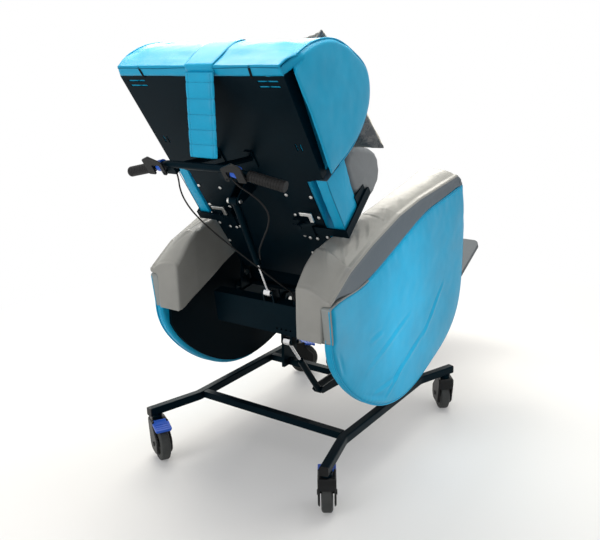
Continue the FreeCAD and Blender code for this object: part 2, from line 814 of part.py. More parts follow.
def arm_outline(x, inset, upper_table, lower_table):
    # Closed outline of an arm panel, drawn in by an inset towards its middle
    middle_y, middle_z = arm_yz(0.5, 0.45)
    shrink_y = 1 - inset / (arm_length / 2)
    shrink_z = 1 - inset / (arm_height / 2)

    def place(along_share, up_share):
        y, z = arm_yz(along_share, up_share)
        return Vector(x, middle_y + (y - middle_y) * shrink_y,
                      middle_z + (z - middle_z) * shrink_z)

    upper = [place(a, u) for a, u in upper_table]
    belly = [place(a, u) for a, u in lower_table]
    upper_curve = Part.BSplineCurve()
    upper_curve.interpolate(upper)
    belly_curve = Part.BSplineCurve()
    belly_curve.interpolate(belly)
    edges = [upper_curve.toShape(), Part.LineSegment(upper[-1], belly[0]).toShape(),
             belly_curve.toShape(), Part.LineSegment(belly[-1], upper[0]).toShape()]
    return Part.Wire(edges)


def pad_section(index):
    # One slice of an arm pad, from its inner face to its lip over the panel
    share, ridge = ridge_shares[index]
    y, outer_top = arm_yz(share, ridge)
    inner_top = outer_top + arm_height * inner_rise_shares[index]
    floor = arm_yz(share, along_line(pad_floor_shares, share))[1]
    seam = arm_yz(share, along_line(seam_shares, share))[1] + soft_gap
    seam = min(seam, outer_top - pad_lip)
    inner = chair_half_width - pad_width
    step = chair_half_width - panel_thickness - soft_gap
    if index in (0, len(ridge_shares) - 1):
        inner_top = inner_top - pad_shoulder / 2
        inner = inner + pad_shoulder / 4
    outer = chair_half_width
    r = pad_shoulder
    slope = (inner_top - outer_top) / pad_width
    a = Vector(inner, y, floor)
    b = Vector(inner, y, inner_top - r)
    c = Vector(inner + r, y, inner_top - slope * r)
    d = Vector(outer - r, y, outer_top + slope * r / 2)
    e = Vector(outer, y, max(outer_top - r, seam + pad_lip / 3))
    f = Vector(outer, y, seam)
    g = Vector(step, y, seam)
    h = Vector(step, y, floor)
    arc_in = Vector(inner + r * 0.29, y, inner_top - r * 0.29 - slope * r / 2)
    arc_out = Vector(outer - r * 0.29, y, (d.z * 0.6 + e.z * 0.4) + r * 0.16)
    crown = Vector((c.x + d.x) / 2, y, (c.z + d.z) / 2 + pad_shoulder * 0.45)
    edges = [Part.LineSegment(a, b).toShape(), Part.Arc(b, arc_in, c).toShape(),
             Part.Arc(c, crown, d).toShape(), Part.Arc(d, arc_out, e).toShape(),
             Part.LineSegment(e, f).toShape(), Part.LineSegment(f, g).toShape(),
             Part.LineSegment(g, h).toShape(), Part.LineSegment(h, a).toShape()]
    return Part.Wire(edges)


def build_arms():
    inner = chair_half_width - panel_thickness
    face = chair_half_width - panel_crown
    wires = [arm_outline(inner, 0, seam_shares, belly_shares),
             arm_outline(face, 0, seam_shares, belly_shares),
             arm_outline(chair_half_width, panel_edge_inset, seam_shares, belly_shares)]
    panel = Part.makeLoft(wires, True, True)
    pad = Part.makeLoft([pad_section(i) for i in range(len(ridge_shares))], True, False)
    room = Part.Face(arm_outline(inner - soft_gap, -joint_gap, seam_shares, belly_shares))
    pad = pad.cut(room.extrude(Vector(panel_thickness + overrun, 0, 0))).Solids[0]
    outer = inner - side_board_gap
    board_wire = arm_outline(outer - side_board_thickness, tube / 2, board_top_shares,
                             belly_shares[:-1])
    board = Part.Face(board_wire).extrude(Vector(side_board_thickness, 0, 0))
    add("left_arm_panel", panel)
    add("right_arm_panel", mirrored(panel))
    add("left_arm_pad", pad)
    add("right_arm_pad", mirrored(pad))
    add("side_boards", board, mirrored(board))
    rail_face = seat_rail_x + seat_rail_width / 2
    lean = math.radians(seat_tilt)
    for along in (-seat_depth * 0.72, -seat_depth * 0.3):
        arm = block(rail_face, outer - side_board_thickness, along, along + bracket_width,
                    -seat_rail_height / 2 - bracket_plate, -seat_rail_height / 2)
        upright = block(outer - side_board_thickness - bracket_plate,
                        outer - side_board_thickness, along, along + bracket_width,
                        -bracket_drop, -seat_rail_height / 2)
        heel = block(rail_face, rail_face + bracket_plate, along, along + bracket_width,
                     -seat_rail_height, -seat_rail_height / 2)
        solid = seat_placed(arm.fuse(upright).fuse(heel))
        add("arm_brackets", solid, mirrored(solid))


def build_hinge_bolts():
    # Bolts of the back hinge, the tilt pivot and the leg rest
    ear_outer = shell_foot_half_width + joint_gap + plate
    span = plate * 2 + joint_gap * 3
    head = screw_height

    def bolt(x_inner, x_outer, y, z, radius):
        shank = cross_bar(x_inner, x_outer, y, z, radius)
        cap = cross_bar(x_outer, x_outer + head, y, z, radius * 1.6)
        nut = cross_bar(x_inner - head, x_inner, y, z, radius * 1.5)
        return shank.fuse(cap).fuse(nut)

    back_bolt = bolt(ear_outer - span, ear_outer + running_gap, hinge_y, hinge_z, hinge_bolt)
    lug_x = post_x + post_thickness / 2 + joint_gap
    post_inner = post_x - post_thickness / 2 - joint_gap
    tilt = bolt(post_inner, lug_x + plate * 1.6 + running_gap, tilt_y, tilt_z, tilt_bolt)
    knee_x = leg_frame_x + leg_bar_width / 2 + joint_gap
    knee = bolt(knee_x - leg_bar_width - joint_gap * 3, knee_x + plate + running_gap,
                leg_pivot_y, leg_pivot_z, leg_bolt)
    for solid in (back_bolt, tilt, knee):
        add("hinge_bolts", solid, mirrored(solid))


def shell_height(drop):
    # Height above the hinge of a point at the given drop below the shell's top
    return shell_top - drop


def build_shell():
    # Folded steel tray behind the back, with louvres and small slits
    half = [(shell_half_width, shell_top), (shell_step_half_width, shell_step_top),
            (shell_waist, shell_step_bottom), (shell_waist, shell_foot + shell_waist),
            (shell_foot_half_width, shell_foot)]
    outline = half + [(-x, z) for x, z in reversed(half)]
    tray = upright_plate(outline, shell_rear, shell_front, 0)
    side_top = [(shell_rear, shell_top), (shell_front - flange_top, shell_top),
                (shell_front - flange_bottom, shell_step_top), (shell_rear, shell_step_top)]
    wide = side_plate(side_top, shell_half_width - sheet, shell_half_width)
    skew = Matrix()
    skew.A13 = (shell_half_width - shell_step_half_width) / (shell_top - shell_step_top)
    skew.A14 = -skew.A13 * shell_top
    wide = wide.transformGeometry(skew)
    ear_x = shell_foot_half_width - plate
    ear_outline = [(shell_front, shell_foot + shell_waist * 0.4),
                   (shell_front, shell_foot), (-hinge_ear, 0), (-hinge_ear * 0.6, -hinge_ear),
                   (hinge_ear * 0.6, -hinge_ear), (hinge_ear, 0),
                   (shell_rear + sheet, shell_foot * 2), (shell_rear, shell_foot * 3),
                   (shell_rear, shell_foot + shell_waist * 0.4)]
    ear = side_plate(ear_outline, ear_x, ear_x + plate, 0)
    ear = ear.cut(cross_bar(0, chair_half_width, 0, 0, hinge_bolt + running_gap))
    for solid in (wide, ear):
        tray = tray.fuse(solid).fuse(mirrored(solid))
    for row in (0, 1):
        z = shell_height(louvre_drop + row * louvre_pitch)
        for x in (-louvre_x, 0, louvre_x):
            tray = tray.cut(rounded_slot(x, z, louvre_length, louvre_height))
    for side in (-1, 1):
        for step in (-1, 1):
            x = side * (slit_x + step * slit_half_pitch)
            tray = tray.cut(rounded_slot(x, shell_height(slit_drop), slit_width, slit_length))
    pin_behind, pin_up = back_point(recline_high_y, recline_high_z)
    lug_x = spring_eye + spring_lug_gap
    lug_outline = [(shell_rear - sheet / 2, pin_up - spring_eye * 1.8),
                   (pin_behind, pin_up - spring_eye), (pin_behind + spring_eye, pin_up),
                   (pin_behind, pin_up + spring_eye),
                   (shell_rear - sheet / 2, pin_up + spring_eye * 2.6)]
    lug = side_plate(lug_outline, lug_x, lug_x + spring_lug,
                     [0, small_round, big_round, small_round, 0])
    tray = tray.fuse(lug).fuse(mirrored(lug))
    tray = tray.fuse(cross_bar(-lug_x, lug_x, pin_behind, pin_up, spring_pin))
    add("back_shell", back_placed(tray))


def rounded_slot(x, z, width, height):
    # A slot through the shell's sheet, with round ends
    end = min(width, height) / 2
    corners = [(x - width / 2, z - height / 2), (x + width / 2, z - height / 2),
               (x + width / 2, z + height / 2), (x - width / 2, z + height / 2)]
    return upright_plate(corners, shell_front - overrun, shell_rear + overrun, end * 0.9)


screw_shares = ((0.966, 0.871), (0.953, 0.692), (0.957, 0.511), (0.953, 0.327), (0.57, 0.869),
                (0.573, 0.692), (0.578, 0.331), (0.507, 0.565), (0.573, 0.5), (0.655, 0.485),
                (0.776, 0.485))


def build_screws():
    # Raised screws on the rear of the shell, in mirrored pairs
    for width_share, height_share in screw_shares:
        base = Vector(shell_waist * width_share, shell_rear, shell_step_bottom * height_share)
        rim = Vector(0, screw_height / 2, 0)
        head = round_bar(base, base + rim, screw_radius)
        crown = Part.makeCone(screw_radius, screw_radius * 0.55, screw_height / 2, base + rim, rim)
        solid = back_placed(head.fuse(crown))
        add("shell_screws", solid, mirrored(solid))
    # A bush and a bolt end on the upper pin of the recline spring
    behind, up = back_point(recline_high_y, recline_high_z)
    face = spring_eye + spring_lug_gap + spring_lug + running_gap
    bush = cross_bar(face, face + screw_height * 2, behind, up, spring_eye * 0.75)
    bolt = cross_bar(-face - screw_height * 1.5, -face, behind, up, spring_pin * 1.3)
    add("shell_screws", back_placed(bush), back_placed(bolt))


def build_back_cushion():
    # Three sewn rolls one above the other, drawn in at both sides
    rolls = 3
    pitch = (back_cushion_top - back_cushion_foot) / rolls
    front = shell_rear - back_cushion_depth
    sections = []
    width = back_cushion_half_width
    for share, depth_share in ((-1, 0.86), (-0.9, 0.97), (-0.3, 1), (0.3, 1), (0.9, 0.97),
                               (1, 0.86)):
        x = width * share
        face = cushion_rear + (front - cushion_rear) * depth_share
        crest = face - roll_crown * depth_share
        edges = [Part.LineSegment(Vector(x, cushion_rear, back_cushion_top),
                                  Vector(x, cushion_rear, back_cushion_foot)).toShape(),
                 Part.LineSegment(Vector(x, cushion_rear, back_cushion_foot),
                                  Vector(x, face, back_cushion_foot)).toShape()]
        for roll in range(rolls):
            low = back_cushion_foot + pitch * roll
            edges.append(Part.Arc(Vector(x, face, low), Vector(x, crest, low + pitch / 2),
                                  Vector(x, face, low + pitch)).toShape())
        edges.append(Part.LineSegment(Vector(x, face, back_cushion_top),
                                      Vector(x, cushion_rear, back_cushion_top)).toShape())
        sections.append(Part.Wire(edges))
    add("back_cushion", back_placed(Part.makeLoft(sections, True, False)))


head_end_shares = ((-1, 0.21), (-0.85, 0.04), (0, 0), (0.85, 0.04), (1, 0.21))


def build_head_cushion():
    # Head section between the wings, with a lip over the shell's top edge
    front = shell_rear - head_depth
    sections = []
    for share, fall in head_end_shares:
        x = head_half_width * share
        drop = head_rise * fall
        top = shell_top + head_rise - drop
        edges = [Part.LineSegment(Vector(x, shell_rear, shell_top + soft_gap),
                                  Vector(x, cushion_rear, shell_top + soft_gap)).toShape(),
                 Part.LineSegment(Vector(x, cushion_rear, shell_top + soft_gap),
                                  Vector(x, cushion_rear, head_foot)).toShape(),
                 Part.LineSegment(Vector(x, cushion_rear, head_foot),
                                  Vector(x, front * 0.8, head_foot)).toShape(),
                 Part.Arc(Vector(x, front * 0.8, head_foot),
                          Vector(x, front + drop - roll_crown, (head_foot + top) / 2),
                          Vector(x, front + drop + roll_crown, top - roll_crown)).toShape(),
                 Part.Arc(Vector(x, front + drop + roll_crown, top - roll_crown),
                          Vector(x, front * 0.5, top + roll_crown / 2),
                          Vector(x, shell_rear - roll_crown, top)).toShape(),
                 Part.Arc(Vector(x, shell_rear - roll_crown, top),
                          Vector(x, shell_rear - roll_crown * 0.25, top - roll_crown * 0.35),
                          Vector(x, shell_rear, top - roll_crown)).toShape(),
                 Part.LineSegment(Vector(x, shell_rear, top - roll_crown),
                                  Vector(x, shell_rear, shell_top + soft_gap)).toShape()]
        sections.append(Part.Wire(edges))
    add("head_cushion", back_placed(Part.makeLoft(sections, True, False)))


wing_shares = ((0.165, 0.0), (0.48, 0.06), (0.745, 0.215), (0.91, 0.425), (1, 0.63),
               (0.91, 0.84), (0.72, 0.95), (0.47, 1), (0.165, 0.99))


def wing_wire(x, rear, lip, inset):
    # Outline of a head wing, with the lip that reaches back over the shell
    top = shell_top + head_rise
    middle_b = shell_rear - wing_reach / 2
    middle_h = top - wing_height / 2
    shrink = 1 - inset / (wing_height / 2)

    def place(forward, down):
        b = shell_rear - wing_reach * forward
        h = top - wing_height * down
        return Vector(x, middle_b + (b - middle_b) * shrink,
                      middle_h + (h - middle_h) * shrink)

    points = [place(forward, down) for forward, down in wing_shares]
    curve = Part.BSplineCurve()
    curve.interpolate(points)
    first, last = points[0], points[-1]
    corner = Vector(x, rear, last.z)
    edges = [curve.toShape(), Part.LineSegment(last, corner).toShape()]
    if lip:
        inner = Vector(x, rear, shell_top + soft_gap)
        outer = Vector(x, shell_rear, shell_top + soft_gap)
        crown = min(roll_crown, (first.z - shell_top) / 2)
        end = Vector(x, shell_rear, first.z - crown)
        over = Vector(x, shell_rear - crown, first.z)
        bend = Vector(x, shell_rear - crown * 0.25, first.z - crown * 0.35)
        edges += [Part.LineSegment(corner, inner).toShape(),
                  Part.LineSegment(inner, outer).toShape(),
                  Part.LineSegment(outer, end).toShape(),
                  Part.Arc(end, bend, over).toShape(),
                  Part.LineSegment(over, first).toShape()]
    else:
        close = Vector(x, rear, first.z)
        edges += [Part.LineSegment(corner, close).toShape(),
                  Part.LineSegment(close, first).toShape()]
    return Part.Wire(edges)


def build_wings():
    # Padded wings beside the head, wrapped outside the shell's flanges
    tray = shell_step_half_width - sheet - soft_gap
    outside = shell_half_width + soft_gap
    rear_out = shell_front - flange_top - soft_gap
    full = wing_half_width - wing_edge_depth
    inner = Part.makeLoft([wing_wire(head_half_width + soft_gap, cushion_rear, True, 0),
                           wing_wire(tray, cushion_rear, True, 0)], True, True)
    outer = Part.makeLoft([wing_wire(tray, rear_out, True, 0),
                           wing_wire(full, rear_out, True, 0),
                           wing_wire(wing_half_width, rear_out, True, wing_edge_inset)],
                          True, True)
    wing = inner.fuse(outer)
    add("left_head_wing", back_placed(wing))
    add("right_head_wing", back_placed(mirrored(wing)))


def lifted_arc(points, gap):
    # Three points of an arc in the YZ plane, moved outwards by a gap
    points = [Vector(0, y, z) for y, z in points]
    centre = Part.Arc(*points).toShape().Curve.Center
    return [point + (point - centre).normalize() * gap for point in points]


def build_head_pillow():
    # Loose pillow in front of the head section and the band that carries it
    front = shell_rear - head_depth - roll_crown - pillow_clear
    top = shell_top - pillow_drop
    sections = []
    for share, swell in ((-1, 0.3), (-0.85, 0.8), (0, 1), (0.85, 0.8), (1, 0.3)):
        x = pillow_half_width * share
        thick = pillow_depth * swell
        half = pillow_height / 2 * (0.8 + 0.2 * swell)
        middle = top - pillow_height / 2
        low, high = middle - half, middle + half
        sections.append(Part.Wire([
            Part.LineSegment(Vector(x, front, high), Vector(x, front, low)).toShape(),
            Part.Arc(Vector(x, front, low), Vector(x, front - thick, middle),
                     Vector(x, front, high)).toShape()]))
    add("head_pillow", back_placed(Part.makeLoft(sections, True, False)))
    lift = shell_top + head_rise + roll_crown / 2 + soft_gap
    rear = shell_rear + strap_clear
    crest = shell_top + head_rise
    face = shell_rear - head_depth
    over = [(face + roll_crown, crest - roll_crown), (face * 0.5, crest + roll_crown / 2),
            (shell_rear - roll_crown, crest)]
    low = lifted_arc(over, joint_gap * 1.5)
    high = lifted_arc(over, joint_gap * 1.5 + band_thickness)
    foot = Vector(0, front - band_thickness / 2, top + joint_gap)
    heel = Vector(0, rear, lift - roll_crown)
    across = Vector(0, band_thickness, 0)
    edges = [Part.LineSegment(foot, high[0]).toShape(), Part.Arc(*high).toShape(),
             Part.Arc(high[2], (high[2] + heel) / 2 + across * 1.2, heel).toShape(),
             Part.LineSegment(heel, heel - across).toShape(),
             Part.Arc(heel - across, (low[2] + heel - across) / 2 + across * 1.2,
                      low[2]).toShape(),
             Part.Arc(low[2], low[1], low[0]).toShape(),
             Part.LineSegment(low[0], foot + across).toShape(),
             Part.LineSegment(foot + across, foot).toShape()]
    width = strap_width - sheet * 2
    band = Part.Face(Part.Wire(edges)).extrude(Vector(width, 0, 0))
    band.translate(Vector(strap_x - width / 2, 0, 0))
    add("pillow_band", back_placed(band))


loose_shares = ((-1, 0), (-0.93, 0.34), (-0.8, 0.6), (-0.45, 0.92), (0, 1), (0.45, 0.92), (0.8, 0.6),
                (0.93, 0.34), (1, 0))


def build_loose_pillow():
    # Square scatter pillow that leans across the fronts of the wings
    sections = []
    for share, swell in loose_shares:
        x = loose_half_side * share
        half = loose_half_side * (0.95 + 0.05 * share * share)
        thick = loose_edge + (loose_half_depth - loose_edge) * swell
        low, high = Vector(x, 0, -half), Vector(x, 0, half)
        edge = Vector(0, loose_edge, 0)
        sections.append(Part.Wire([
            Part.LineSegment(high - edge, high + edge).toShape(),
            Part.Arc(high + edge, Vector(x, thick + loose_edge / 2, 0), low + edge).toShape(),
            Part.LineSegment(low + edge, low - edge).toShape(),
            Part.Arc(low - edge, Vector(x, -thick - loose_edge / 2, 0), high - edge).toShape()]))
    pillow = Part.makeLoft(sections, True, False)
    pillow.rotate(Vector(0, 0, 0), Vector(0, 1, 0), loose_turn)
    pillow.translate(Vector(loose_x, -loose_forward, loose_up))
    add("loose_pillow", back_placed(pillow))


def strap_top():
    # Chair point where the weighted strap hangs from the band
    lean = math.radians(back_lean)
    behind = shell_rear + strap_clear
    up = shell_top + head_rise + roll_crown / 2 + soft_gap - roll_crown
    y = hinge_y + behind * math.cos(lean) + up * math.sin(lean)
    z = hinge_z - behind * math.sin(lean) + up * math.cos(lean)
    return y, z


def build_weight_strap():
    # Strap with sewn weight pockets, hanging plumb behind the shell
    y, z = strap_top()
    y = y + strap_thickness / 2 - strap_channel
    z = z - soft_gap
    pitch = strap_length / strap_pockets
    half = strap_thickness / 2
    slim = half - strap_channel
    rear = []
    front = []
    for pocket in range(strap_pockets):
        high = z - pitch * pocket
        low = high - pitch
        middle = (high + low) / 2
        rear.append(Part.Arc(Vector(0, y + slim, high), Vector(0, y + half, middle),
                             Vector(0, y + slim, low)).toShape())
        front.append(Part.Arc(Vector(0, y - slim, low), Vector(0, y - half, middle),
                              Vector(0, y - slim, high)).toShape())
    foot = z - strap_length
    edges = rear + [Part.LineSegment(Vector(0, y + slim, foot),
                                     Vector(0, y - slim, foot)).toShape()]
    edges += list(reversed(front))
    edges.append(Part.LineSegment(Vector(0, y - slim, z), Vector(0, y + slim, z)).toShape())
    strap = Part.Face(Part.Wire(edges)).extrude(Vector(strap_width, 0, 0))
    strap.translate(Vector(strap_x - strap_width / 2, 0, 0))
    add("weight_strap", strap)


bar_level = shell_top - bar_drop
bar_b = shell_rear + bar_behind
bar_tip_level = shell_top - bar_end_drop
housing_near = 0.76 * bar_bend_x
housing_far = 1.13 * bar_bend_x
housing_height = 1.64 * bar_radius


def bar_run(start_from_tip, length, radius):
    # A round piece on the sloping end of the push bar
    tip = Vector(bar_tip_x, bar_b, bar_tip_level)
    bend = Vector(bar_bend_x, bar_b, bar_level)
    inward = (bend - tip).normalize()
    start = tip + inward * start_from_tip
    return round_bar(start, start + inward * length, radius)


def build_push_bar():
    # Bar behind the shell, on two stays, with a housing for each release lever
    points = [Vector(-bar_tip_x, bar_b, bar_tip_level), Vector(-bar_bend_x, bar_b, bar_level),
              Vector(bar_bend_x, bar_b, bar_level), Vector(bar_tip_x, bar_b, bar_tip_level)]
    bar = round_tube(points, bar_radius, bar_bend_radius)
    stay_level = shell_top - bar_stay_drop
    for side in (-1, 1):
        x = side * bar_stay_x
        end = Vector(x, shell_rear - bar_radius, stay_level - bar_radius / 2)
        stay = round_bar(Vector(x, bar_b, bar_level), end, bar_radius * 0.8)
        room = block(x - tube, x + tube, shell_rear, shell_rear - bar_behind,
                     stay_level - tube * 2, bar_level)
        foot = block(x - tube / 2, x + tube / 2, shell_rear, shell_rear + plate,
                     stay_level - tube, stay_level + tube)
        housing = block(side * housing_near, side * housing_far, bar_b - bar_radius * 0.7,
                        bar_b + bar_radius, bar_level - bar_radius - housing_height,
                        bar_level - bar_radius * 0.4)
        pin = round_bar(lever_pivot(side), lever_pivot(side)
                        + Vector(0, collar_outer + lever_thickness + joint_gap * 2, 0), lever_pin)
        bar = bar.fuse(stay.cut(room)).fuse(foot).fuse(housing).fuse(pin)
    add("push_bar", back_placed(bar))
    grip = bar_run(-sheet, grip_length + sheet, grip_radius)
    pitch = grip_length / (grip_ribs + 1)
    for rib in range(grip_ribs):
        groove = bar_run(pitch * (rib + 1), sheet / 2, grip_radius + sheet)
        inner = bar_run(pitch * (rib + 1), sheet / 2, grip_radius - sheet / 3)
        grip = grip.cut(groove.cut(inner))
    grip = grip.cut(bar_run(0, grip_length * 2, bar_radius + running_gap))
    add("bar_grips", back_placed(grip), back_placed(mirrored(grip)))
    slope = math.atan2(bar_end_drop - bar_drop, bar_tip_x - bar_bend_x)
    length = (bar_tip_x - collar_bar_x) / math.cos(slope)
    collar = bar_run(length, collar_length, collar_outer)
    collar = collar.cut(bar_run(length - overrun, collar_length + overrun * 2,
                                bar_radius + running_gap))
    add("bar_collars", back_placed(collar), back_placed(mirrored(collar)))


def lever_pivot(side):
    # Pivot of a release lever in the back frame
    return Vector(side * (housing_far - lever_width / 2), bar_b,
                  bar_level - bar_radius - housing_height * 0.4)


def build_release_levers():
    pivot = lever_pivot(1)
    rear = bar_b + collar_outer + joint_gap
    half = lever_width / 2
    bridge = bar_level + lever_width * 0.7
    outline = [(pivot.x - half, pivot.z - half), (pivot.x + half, pivot.z - half),
               (pivot.x + half, bridge), (fin_near, bridge), (fin_near, bar_level - fin_below),
               (fin_far, bar_level - fin_below), (fin_far, bar_level + fin_above * 0.7),
               (fin_near, bar_level + fin_above), (pivot.x - half, bar_level + fin_above / 2)]
    small = lever_width / 4
    radii = [small, small, small, small, small, small, small, small * 2, small]
    lever = upright_plate(outline, rear, rear + lever_thickness, radii)
    bore = round_bar(pivot, pivot + Vector(0, bar_behind, 0), lever_pin + running_gap)
    lever = lever.cut(bore)
    add("left_release_lever", back_placed(lever))
    add("right_release_lever", back_placed(mirrored(lever)))


def build_laterals():
    level = lateral_level
    rear = shell_rear + screw_height + joint_gap
    half_bar = lateral_bar_height / 2
    low = level - receiver_height / 2
    high = clamp_level + clamp_radius * 0.8
    receiver = block(receiver_x - receiver_width / 2, receiver_x + receiver_width / 2,
                     shell_rear, shell_rear + receiver_depth, low, high)
    slot = block(0, chair_half_width, rear - running_gap * 6, rear + lateral_bar + running_gap * 6,
                 level - half_bar - running_gap * 6, level + half_bar + running_gap * 6)
    pin_base = Vector(receiver_x, shell_rear + receiver_depth, clamp_level)
    reach = Vector(0, lateral_bar + joint_gap, 0)
    receiver = receiver.cut(slot).fuse(round_bar(pin_base - reach, pin_base + reach, lever_pin))
    add("lateral_receivers", back_placed(receiver), back_placed(mirrored(receiver)))
    # Flat bar through the receiver, then forward beside the pad
    bar = block(receiver_x - receiver_width * 0.7, lateral_arm_x + lateral_bar, rear,
                rear + lateral_bar, level - half_bar, level + half_bar)
    front = shell_rear - lateral_arm_reach
    outline = [(rear + lateral_bar, level - half_bar), (rear + lateral_bar, level + half_bar),
               (front, level + half_bar + lateral_arm_rise),
               (front, level - half_bar + lateral_arm_rise)]
    arm = side_plate(outline, lateral_arm_x, lateral_arm_x + lateral_bar,
                     [0, 0, small_round, small_round])
    boss = block(lateral_outer_x + soft_gap, lateral_arm_x, front + half_bar,
                 front + half_bar * 5, level - half_bar + lateral_arm_rise,
                 lateral_foot + (lateral_top - lateral_foot) * 0.3)
    slid_in = Vector(-left_lateral_in, 0, 0)
    support = back_placed(bar.fuse(arm).fuse(boss))
    add("left_lateral_arm", support.translated(slid_in))
    add("right_lateral_arm", mirrored(support))
    sections = []
    for x_share, inset in ((0, 0.7), (0.22, 0), (0.78, 0), (1, 0.7)):
        x = lateral_inner_x + (lateral_outer_x - lateral_inner_x) * x_share
        sections.append(lateral_wire(x, inset * wing_edge_depth))
    pad = back_placed(Part.makeLoft(sections, True, True))
    add("left_lateral_pad", pad.translated(slid_in))
    add("right_lateral_pad", mirrored(pad))
    for side, route in (("left", left_clamp_shares), ("right", right_clamp_shares)):
        sign = 1 if side == "left" else -1
        hub = Vector(sign * receiver_x, shell_rear + receiver_depth + joint_gap, clamp_level)
        clamp = round_bar(hub, hub + Vector(0, clamp_stand + lateral_bar * 1.3, 0), clamp_radius)
        stops = [(0, 0)] + [(across * receiver_width, up * receiver_width)
                            for across, up in route]
        for start, end in zip(stops, stops[1:]):
            clamp = clamp.fuse(clamp_link(hub + Vector(start[0], clamp_stand, start[1]),
                                          hub + Vector(end[0], clamp_stand, end[1])))
        bore = round_bar(hub - Vector(0, overrun, 0), hub + reach, lever_pin + running_gap)
        add(side + "_lateral_clamp", back_placed(clamp.cut(bore)))


left_clamp_shares = ((-0.4, 0.1), (-0.4, 0.62), (0.23, 0.62))
right_clamp_shares = ((-0.97, 0.39), (-0.97, 0.94), (-0.41, 0.94))


def clamp_link(start, end):
    # Flat link between two points of a clamp's handle
    half = clamp_width / 2
    run = (end - start).normalize()
    across = Vector(run.z, 0, -run.x) * half
    start = start - run * half
    end = end + run * half
    points = [start - across, end - across, end + across, start + across]
    face = Part.Face(Part.Wire(rounded_edges(points, half * 0.6, True)))
    return face.extrude(Vector(0, lateral_bar, 0))


def lateral_wire(x, inset):
    # Side outline of a lateral pad: square at the rear, rounded in front
    rear = shell_rear - inset
    front = shell_rear - lateral_reach + inset
    top = lateral_top - inset
    low = lateral_foot + inset
    nose = low + lateral_nose_rise
    r = lateral_nose
    points = [Vector(x, rear, low), Vector(x, rear, top), Vector(x, front, top),
              Vector(x, front, nose)]
    edges = rounded_edges(points, [small_round, small_round, r, r * 0.9], True)
    return Part.Wire(edges)


def spring_pair(name, x, tube_pin, rod_pin, tube_share, rod_share, boss_side):
    # Gas spring: a closed tube with an eye and a rod whose eye has room round its pin
    base = Vector(x, tube_pin[0], tube_pin[1])
    end = Vector(x, rod_pin[0], rod_pin[1])
    run = (end - base).normalize()
    length = (end - base).Length
    tube_end = base + run * (length * tube_share)
    body = round_bar(base + run * spring_eye / 2, tube_end, spring_tube)
    body = body.fuse(round_bar(tube_end - run * spring_tube, tube_end + run * sheet,
                               spring_tube * 0.8))
    eye = cross_bar(x - spring_eye, x + spring_eye, base.y, base.z, spring_eye)
    body = body.fuse(eye)
    if boss_side:
        boss_at = base + run * (length * tube_share * 0.92)
        boss = round_bar(boss_at, boss_at + Vector(boss_side * spring_tube * 1.3, 0, 0),
                         spring_rod)
        body = body.fuse(boss)
    bore_start = base + run * (spring_eye + spring_end_wall)
    body = body.cut(round_bar(bore_start, tube_end - run * spring_guide, spring_bore))
    body = body.cut(round_bar(bore_start, tube_end + run * overrun * 2,
                              spring_rod + running_gap))
    body = body.cut(cross_bar(x - tube, x + tube, base.y, base.z, spring_pin + running_gap))
    rod = round_bar(end - run * spring_eye / 2, end - run * (length * rod_share), spring_rod)
    rod_eye = cross_bar(x - spring_eye, x + spring_eye, end.y, end.z, spring_eye)
    rod = rod.fuse(rod_eye)
    rod = rod.cut(cross_bar(x - tube, x + tube, end.y, end.z, spring_pin + open_eye_gap))
    add(name + "_tube", body)
    add(name + "_rod", rod)


def build_leg_rest():
    bars = None
    half = leg_bar_width / 2
    thick = leg_bar_height / 2
    for side in (1, -1):
        x = side * leg_frame_x
        bar = block(x - half, x + half, -leg_length, 0, -thick, thick)
        for y in (0, -leg_length):
            bar = bar.fuse(cross_bar(x - half, x + half, y, 0, leg_knuckle))
        bars = bar if bars is None else bars.fuse(bar)
    for y in (-leg_length * 0.2, -leg_length * 0.88):
        bars = bars.fuse(block(-leg_frame_x, leg_frame_x, y - half, y, -thick, thick))
    bars = bars.fuse(cross_bar(-leg_frame_x, leg_frame_x, -leg_length, 0, leg_bolt))
    bore = cross_bar(-leg_half_width, leg_half_width, 0, 0, leg_bolt + running_gap)
    add("leg_frame", leg_placed(bars.cut(bore)))
    sections = []
    for share, width_share, top_share in ((0, 0.97, 0.75), (0.07, 1, 0.97), (0.5, 0.995, 1),
                                          (0.93, 1, 0.97), (1, 0.97, 0.75)):
        y = -leg_pad_start - (leg_pad_end - leg_pad_start) * share
        low = thick + soft_gap
        top = low + leg_pad_thickness * top_share
        wide = leg_half_width * width_share
        shoulder = wide - leg_pad_thickness * 0.4
        a, b = Vector(-wide, y, low), Vector(wide, y, low)
        c, d = Vector(wide, y, top - leg_pad_thickness * 0.3), Vector(shoulder, y, top)
        e, f = Vector(-shoulder, y, top), Vector(-wide, y, top - leg_pad_thickness * 0.3)
        bend = Vector(wide - leg_pad_thickness * 0.13, y, top - leg_pad_thickness * 0.07)
        sections.append(Part.Wire([
            Part.LineSegment(a, b).toShape(), Part.LineSegment(b, c).toShape(),
            Part.Arc(c, bend, d).toShape(),
            Part.Arc(d, Vector(0, y, top + leg_pad_thickness * 0.12), e).toShape(),
            Part.Arc(e, Vector(-bend.x, y, bend.z), f).toShape(),
            Part.LineSegment(f, a).toShape()]))
    add("leg_pad", leg_placed(Part.makeLoft(sections, True, False)))


def foot_placed(solid):
    # From the foot board frame, hinged at the end of the leg rest
    drop = math.radians(leg_drop)
    moved = solid.copy()
    moved.rotate(Vector(0, 0, 0), Vector(1, 0, 0), -foot_rise)
    moved.translate(Vector(0, leg_pivot_y - leg_length * math.cos(drop),
                           leg_pivot_z - leg_length * math.sin(drop)))
    return moved


